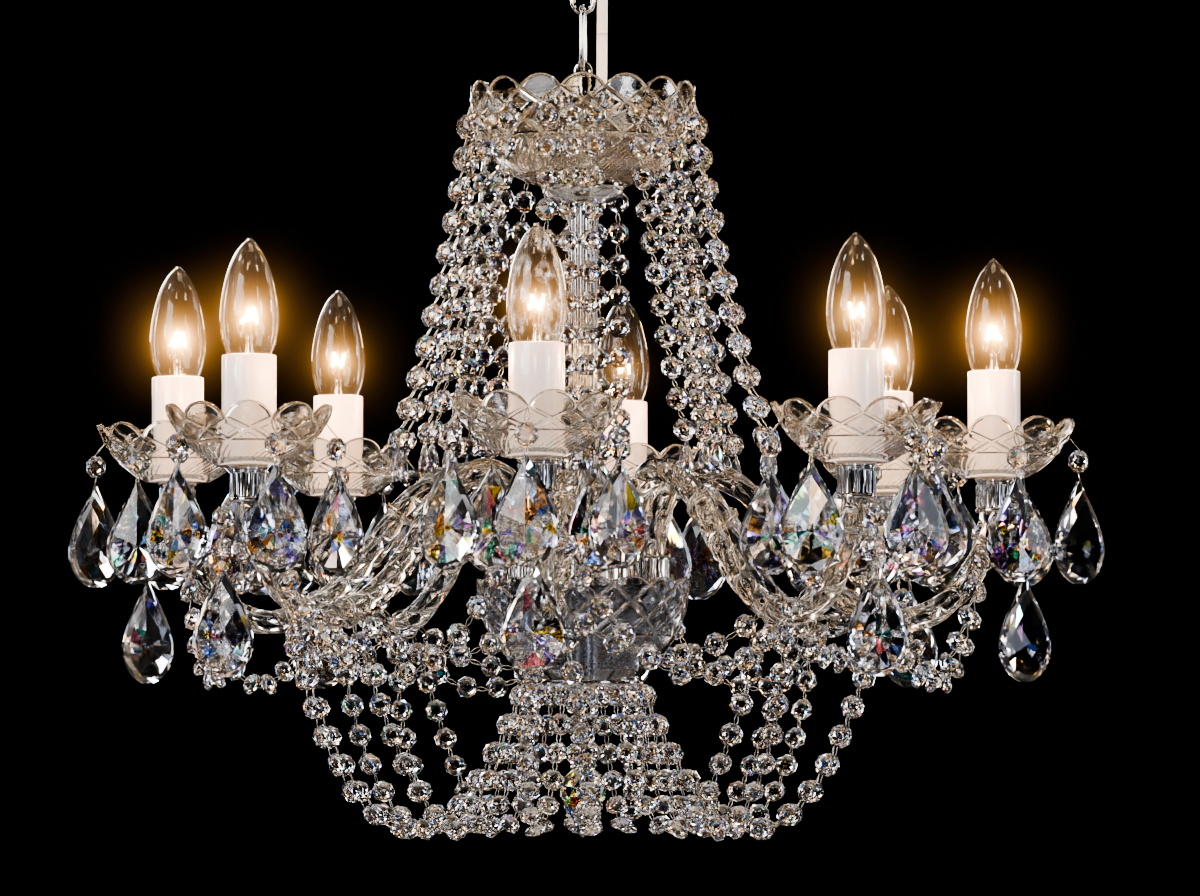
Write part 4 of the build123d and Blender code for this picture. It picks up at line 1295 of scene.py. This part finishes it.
footRing = {
    "ringZ": -508.6, "ringRadius": 36.0, "ringWire": 1.45, "spokeFrom": 12.0, "spokeWire": 1.2,
    "hub": [
        (4.1, -507.15), (12.0, -507.15), (12.8, -507.6), (13.0, -508.4), (12.8, -509.4), (12.0, -510.05),
        (4.1, -510.05),
    ],
    "nut": [
        (0.0, -480.3), (4.0, -480.3), (4.0, -510.2), (9.6, -510.2), (10.0, -510.8), (9.9, -512.6), (9.2, -513.2),
        (9.3, -514.0), (8.6, -517.4), (7.8, -520.6), (6.4, -522.0), (3.0, -522.2), (1.0, -522.9), (1.0, -557.7),
        (0.0, -557.7),
    ],
}


def makeFoot():
    def level(radius, sides):
        return [(x, y, footRing["ringZ"]) for x, y in circle(radius, sides)]

    parts = [tube(level(footRing["ringRadius"], 64), circle(footRing["ringWire"], 10), closed=True)]
    for spoke in zip(level(footRing["spokeFrom"], layout["arms"]), level(footRing["ringRadius"], layout["arms"])):
        parts.append(tube(spoke, circle(footRing["spokeWire"], 8)))
    parts.append(turnedShape(footRing["hub"][::-1], 48, closed=True))
    chromePiece("strandRing", parts, "strand_ring")
    chromePiece("bottomNut", [turnedShape(footRing["nut"], 48)], "bottom_nut")


# Crystal ball with a point: rows of facets set half a step round from each other
ball = {
    "top": -558.0, "height": 45.0, "radius": 14.4, "sides": 12,
    # share of the height, share of the radius, and how many half steps round
    "rows": [(0.0, 0.1, 0), (0.06, 0.42, 1), (0.17, 0.82, 0), (0.3, 0.985, 1), (0.44, 0.96, 0), (0.58, 0.74, 1),
             (0.76, 0.42, 0), (1.0, 0.03, 1)],
}


def makeCentreDrop():
    sides = ball["sides"]
    points, rings, faces = [], [], []
    for share, width, turn in ball["rows"]:
        rings.append(list(range(len(points), len(points) + sides)))
        for k in range(sides):
            angle = 2 * math.pi * (k + turn / 2) / sides
            r = ball["radius"] * width
            points.append((r * math.cos(angle), r * math.sin(angle), ball["top"] - ball["height"] * share))
    for (high, low), (_, _, turn) in zip(zip(rings, rings[1:]), ball["rows"]):
        for k in range(sides):
            n = (k + 1) % sides
            if turn == 0:
                faces += [(high[k], low[k], high[n]), (high[n], low[k], low[n])]
            else:
                faces += [(high[k], low[n], high[n]), (high[k], low[k], low[n])]
    faces += [tuple(rings[0]), tuple(reversed(rings[-1]))]
    crystalPiece("centreDrop", [(points, faces)], pearCrystal, [1.0], ["centre_drop"], "centre_drop_body")


chain = {
    "wire": 1.68, "linkWidth": 12.6, "linkHeight": 38.6, "linkTops": (-58.35, -93.3), "bendPoints": 14,
    "eyeRadius": 4.6, "eyeWire": 1.38,
    "eyeDrop": 6.0,  # from the top of the model's eye to its middle
    "eyeCollar": [(0.0, 0.0), (5.6, 0.0), (6.0, 0.5), (5.8, 3.0)],  # from its foot up
    "eyeNeck": [(4.4, -5.4), (2.6, -4.4), (0.0, -4.0)],  # from the eye's middle
    "hookRadius": 7.0, "hookZ": -55.0,
    "hookCollar": [
        (0.0, 0.0), (3.0, 0.0), (3.0, -30.1), (6.4, -30.1), (7.0, -30.7), (6.9, -32.6), (6.0, -34.1), (4.2, -35.4),
        (3.2, -38.0), (3.0, -44.0), (2.4, -47.4), (0.0, -47.6),
    ],
}


def linkShape(top, across):
    bend = chain["linkWidth"] / 2
    straight = chain["linkHeight"] / 2 - bend
    middle = top - chain["linkHeight"] / 2
    last = chain["bendPoints"] - 1
    line = []
    for start, shift in ((0, straight), (math.pi, -straight)):
        for a in [start + math.pi * k / last for k in range(last + 1)]:
            line.append(Vector((0, 0, middle)) + across * (bend * math.cos(a))
                        + Vector((0, 0, 1)) * (shift + bend * math.sin(a)))
    return tube(line, circle(chain["wire"], 12), closed=True)


def makeChain():
    upperTop, lowerTop = chain["linkTops"]
    chromePiece("chainLinkUpper", [linkShape(upperTop, Vector((1, 0, 0)))], "chain_link_upper", "upper_link")
    chromePiece("chainLinkLower", [linkShape(lowerTop, Vector((0, 1, 0)))], "chain_link_lower", "lower_link")
    low, high = [corner.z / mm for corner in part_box("stem_eye")]
    eyeZ = high - chain["eyeDrop"]
    eye = [(x, 0, eyeZ + y) for x, y in circle(chain["eyeRadius"], 32)]
    collar = [(r, low + z) for r, z in chain["eyeCollar"]] + [(r, eyeZ + z) for r, z in chain["eyeNeck"]]
    parts = [tube(eye, circle(chain["eyeWire"], 10), closed=True), turnedShape(collar, 32)]
    chromePiece("stemEye", parts, "stem_eye")
    hook = [(0, x, chain["hookZ"] + y) for x, y in circle(chain["hookRadius"], 40)]
    parts = [tube(hook, circle(chain["wire"], 12), closed=True), turnedShape(chain["hookCollar"][::-1], 40)]
    chromePiece("canopyHook", parts, "canopy_hook", "ceiling_fitting")


canopy = {
    "skirt": [(51.9, -0.05), (52.0, -1.0), (52.0, -5.6), (51.4, -6.3), (51.7, -7.2)],
    "shoulder": (25.0, -2.65),  # the middle of its curve
    "curve": 27.35, "wall": 1.5,
    "curveEnds": (-9, -90),  # degrees
    "curvePoints": (21, 11),  # outside and inside
    "middle": [
        (20.0, -30.0), (19.4, -29.7), (18.4, -29.7), (17.8, -30.0), (3.3, -30.0), (3.3, -28.5), (25.0, -28.5),
    ],
    "inside": [(50.5, -5.0), (50.5, -0.05)],
    "glandAt": 12.0,
    "gland": [
        (3.6, -30.1), (4.5, -30.1), (4.5, -32.2), (4.1, -32.8), (4.3, -33.4), (4.0, -36.2), (3.7, -37.0),
        (3.5, -37.0), (3.45, -30.4),
    ],
    "weld": 0.001,  # mm
    "crease": 30,
}


def makeCanopy():
    def curve(radius, start, end, count):
        x, z = canopy["shoulder"]
        turns = [math.radians(start + (end - start) * k / count) for k in range(1, count + 1)]
        return [(x + radius * math.cos(a), z + radius * math.sin(a)) for a in turns]

    start, end = canopy["curveEnds"]
    outCount, inCount = canopy["curvePoints"]
    outer = canopy["skirt"] + curve(canopy["curve"], start, end, outCount)
    inner = curve(canopy["curve"] - canopy["wall"], end, start, inCount) + canopy["inside"]
    piece = chromePiece(
        "ceilingCanopy", [turnedShape(outer + canopy["middle"] + inner, 96, closed=True)], "ceiling_canopy",
        "ceiling_fitting",
    )
    welded(piece, canopy["weld"], canopy["crease"])
    gland = placed(turnedShape(canopy["gland"][::-1], 24, closed=True), Matrix.Translation((canopy["glandAt"], 0, 0)))
    piece = meshPiece("cableGland", gland, holderPlastic, "ceiling_fitting", ["cable_gland"])
    welded(piece, canopy["weld"], canopy["crease"])
    refinish("ceiling_bracket", zincSteel)


# Spring clips round the arms: two rings of wire joined by small clasps, where the strands hook on
clip = {
    "radius": 9.3, "spread": 1.1, "wire": 0.55, "clasps": 8, "claspWire": 0.6, "claspReach": 1.2,
}


def makeClips():
    parts = []
    for solid in solidsOf("strand_clips"):
        cloud = np.array([tuple(p) for p, _ in solid])
        centre = cloud.mean(0)
        _, _, rows = np.linalg.svd(cloud - centre)
        axis = Vector(rows[2]).normalized()
        side = Vector(rows[0]).normalized()
        up = axis.cross(side)
        middle = Vector(centre)
        for shift in (-clip["spread"], clip["spread"]):
            loop = [middle + axis * shift + side * x + up * y for x, y in circle(clip["radius"], 28)]
            parts.append(tube(loop, circle(clip["wire"], 7), closed=True))
        for x, y in circle(clip["radius"], 2 * clip["clasps"])[1::2]:
            spot = middle + side * x + up * y
            ends = [spot - axis * clip["claspReach"], spot + axis * clip["claspReach"]]
            parts.append(tube(ends, circle(clip["claspWire"], 6)))
    wirePiece("strandClips", parts, ["strand_clips"])


makeCups()
makeStem()
makeFoot()
makeCentreDrop()
makeChain()
makeCanopy()
makeClips()
print("fittings made")


# Studio: a pale floor far below, a dark surround, and soft lamps set apart, so that each facet is bright or dark
studio = {
    "floorZ": -2.5, "floorRadius": 16.0,
    "floorTints": [(0.3, "e9e7e3"), (0.7, "efedea")],
    "floorGrain": 3.0,  # waves in each metre
    "floorRoughness": 0.8,
    # from straight below to straight above
    "surround": [(0.0, "0c0d0f"), (0.48, "101114"), (0.62, "101114"), (1.0, "1b1c20")],
    "strength": 0.5,
    # large dim panels: name, place, width and height, watts, colour
    "softboxes": [
        ("key", (-1.9, -2.6, 0.8), (1.6, 1.6), 50.0, "ffffff"),
        ("fill", (2.5, -2.2, 0.0), (1.0, 1.6), 16.0, "eaf1ff"),
        ("leftStrip", (-2.6, 0.6, -0.3), (0.4, 1.8), 11.0, "dfe9ff"),
        ("rightStrip", (2.6, 1.0, -0.2), (0.4, 1.8), 11.0, "dfe9ff"),
        ("backLeft", (-1.3, 2.4, 0.4), (0.5, 1.0), 9.0, "f2f6ff"),
        ("backRight", (1.3, 2.4, -0.9), (0.5, 0.9), 7.0, "ffe9cf"),
        ("overhead", (0.2, -0.5, 1.9), (1.1, 1.1), 12.0, "ffefd9"),
    ],
    # rings of small bright lamps, for the sparkle: degrees above the middle, how many, first azimuth, watts, colours
    "sparks": [
        (-38.0, 7, 12.9, 1.5, ["c9d8ff", "eaf0ff"]), (-12.0, 6, 0.0, 2.1, ["eef3ff", "c9d8ff"]),
        (14.0, 7, 12.9, 4.6, ["ffffff", "ffdcaf"]), (42.0, 6, 20.0, 4.6, ["ffdcaf", "ffffff"]),
    ],
    "sparkSize": (0.26, 0.26), "sparkReach": 2.4, "middle": (0.0, 0.0, -0.38), "transform": "AgX",
    "contrast": "AgX - High Contrast", "exposure": -0.25,
}


def makeFloor():
    sides = 96
    data = bpy.data.meshes.new("floor")
    ring = [(x, y, studio["floorZ"]) for x, y in circle(studio["floorRadius"], sides)]
    data.from_pydata(ring, [], [tuple(range(sides))])
    floor = bpy.data.objects.new("floor", data)
    scene.collection.objects.link(floor)
    # Matt paper: an even pale grey, faintly clouded
    material, tree, shader = newMaterial("palePaperFloor", {"Roughness": studio["floorRoughness"]})
    place = addNode(tree, "TexCoord").outputs["Object"]
    grain = addNode(tree, "TexNoise", {"Scale": studio["floorGrain"], "Detail": 2.0}, {"Vector": place})
    tint = addNode(tree, "ValToRGB", {}, {"Fac": grain}, studio["floorTints"])
    linkUp(tree, shader, {"Base Color": tint})
    data.materials.append(material)


def makeSurround():
    world = bpy.data.worlds.new("studio")
    scene.world = world
    world.use_nodes = True
    tree = world.node_tree
    place = addNode(tree, "TexCoord").outputs["Generated"]
    up = addNode(tree, "SeparateXYZ", {}, {"Vector": place}).outputs["Z"]
    height = addNode(tree, "MapRange", {"From Min": -1.0, "From Max": 1.0}, {"Value": up})
    tint = addNode(tree, "ValToRGB", {}, {"Fac": height}, studio["surround"])
    background = tree.nodes["Background"]
    background.inputs["Strength"].default_value = studio["strength"]
    linkUp(tree, background, {"Color": tint})


def addLamp(name, spot, size, power, colour):
    light = bpy.data.lights.new(name, "AREA")
    light.shape = "RECTANGLE"
    light.size, light.size_y = size
    light.energy = power
    light.color = toLinear(colour)[:3]
    holder = bpy.data.objects.new(name, light)
    scene.collection.objects.link(holder)
    holder.location = spot
    holder.rotation_mode = "QUATERNION"
    holder.rotation_quaternion = (Vector(studio["middle"]) - Vector(spot)).to_track_quat("-Z", "Y")
    holder.visible_camera = False


def makeStudio():
    makeFloor()
    makeSurround()
    for softbox in studio["softboxes"]:
        addLamp(*softbox)
    sparks = [
        (height, first + 360 / lamps * k, power, colours[k % 2])
        for height, lamps, first, power, colours in studio["sparks"] for k in range(lamps)
    ]
    for n, (height, azimuth, power, colour) in enumerate(sparks, 1):
        turn, rise = math.radians(azimuth), math.radians(height)
        reach = Vector((math.cos(turn) * math.cos(rise), math.sin(turn) * math.cos(rise), math.sin(rise)))
        spot = Vector(studio["middle"]) + reach * studio["sparkReach"]
        addLamp(f"spark{n}", spot, studio["sparkSize"], power, colour)
    scene.view_settings.view_transform = studio["transform"]
    scene.view_settings.look = studio["contrast"]
    scene.view_settings.exposure = studio["exposure"]


# The bloom that a lit lamp leaves in a lens. Only what is both bright and much redder than blue blooms, and only
# on the lamps' own glass, so that the crystals' sparkle stays crisp.
glowLook = {
    "blueShare": 1.6, "threshold": 4.0, "gain": 11.0, "size": 0.08, "tint": "fff2d0",
}


def makeGlow():
    scene.use_nodes = True
    tree = scene.node_tree
    tree.nodes.clear()
    scene.view_layers[0].use_pass_object_index = True
    picture = addNode(tree, "RLayers")
    index = next(output for output in picture.outputs if output.identifier == "IndexOB")
    parts = addNode(tree, "SeparateColor", {}, {"Image": picture})
    blue = addNode(tree, "Math", {"operation": "MULTIPLY", 1: glowLook["blueShare"]}, {0: parts.outputs["Blue"]})
    warmth = addNode(tree, "Math", {"operation": "SUBTRACT"}, {0: parts.outputs["Red"], 1: blue})
    lamps = addNode(tree, "Math", {"operation": "MULTIPLY"}, {0: warmth, 1: index})
    lit = addNode(tree, "Math", {"operation": "GREATER_THAN", 1: glowLook["threshold"]}, {0: lamps})
    gain = addNode(tree, "Math", {"operation": "MULTIPLY", 1: glowLook["gain"]}, {0: lit})
    source = addNode(tree, "MixRGB", {"blend_type": "MULTIPLY"}, {1: picture, 2: gain})
    bloom = addNode(
        tree, "Glare",
        {
            "glare_type": "BLOOM", "Threshold": 0.0, "Strength": 1.0, "Size": glowLook["size"],
            "Tint": toLinear(glowLook["tint"]),
        },
        {"Image": source},
    ).outputs["Glare"]
    total = addNode(tree, "MixRGB", {"blend_type": "ADD"}, {1: picture, 2: bloom})
    addNode(tree, "Composite", {}, {"Image": total})


makeGlow()
makeStudio()
print("studio lit")
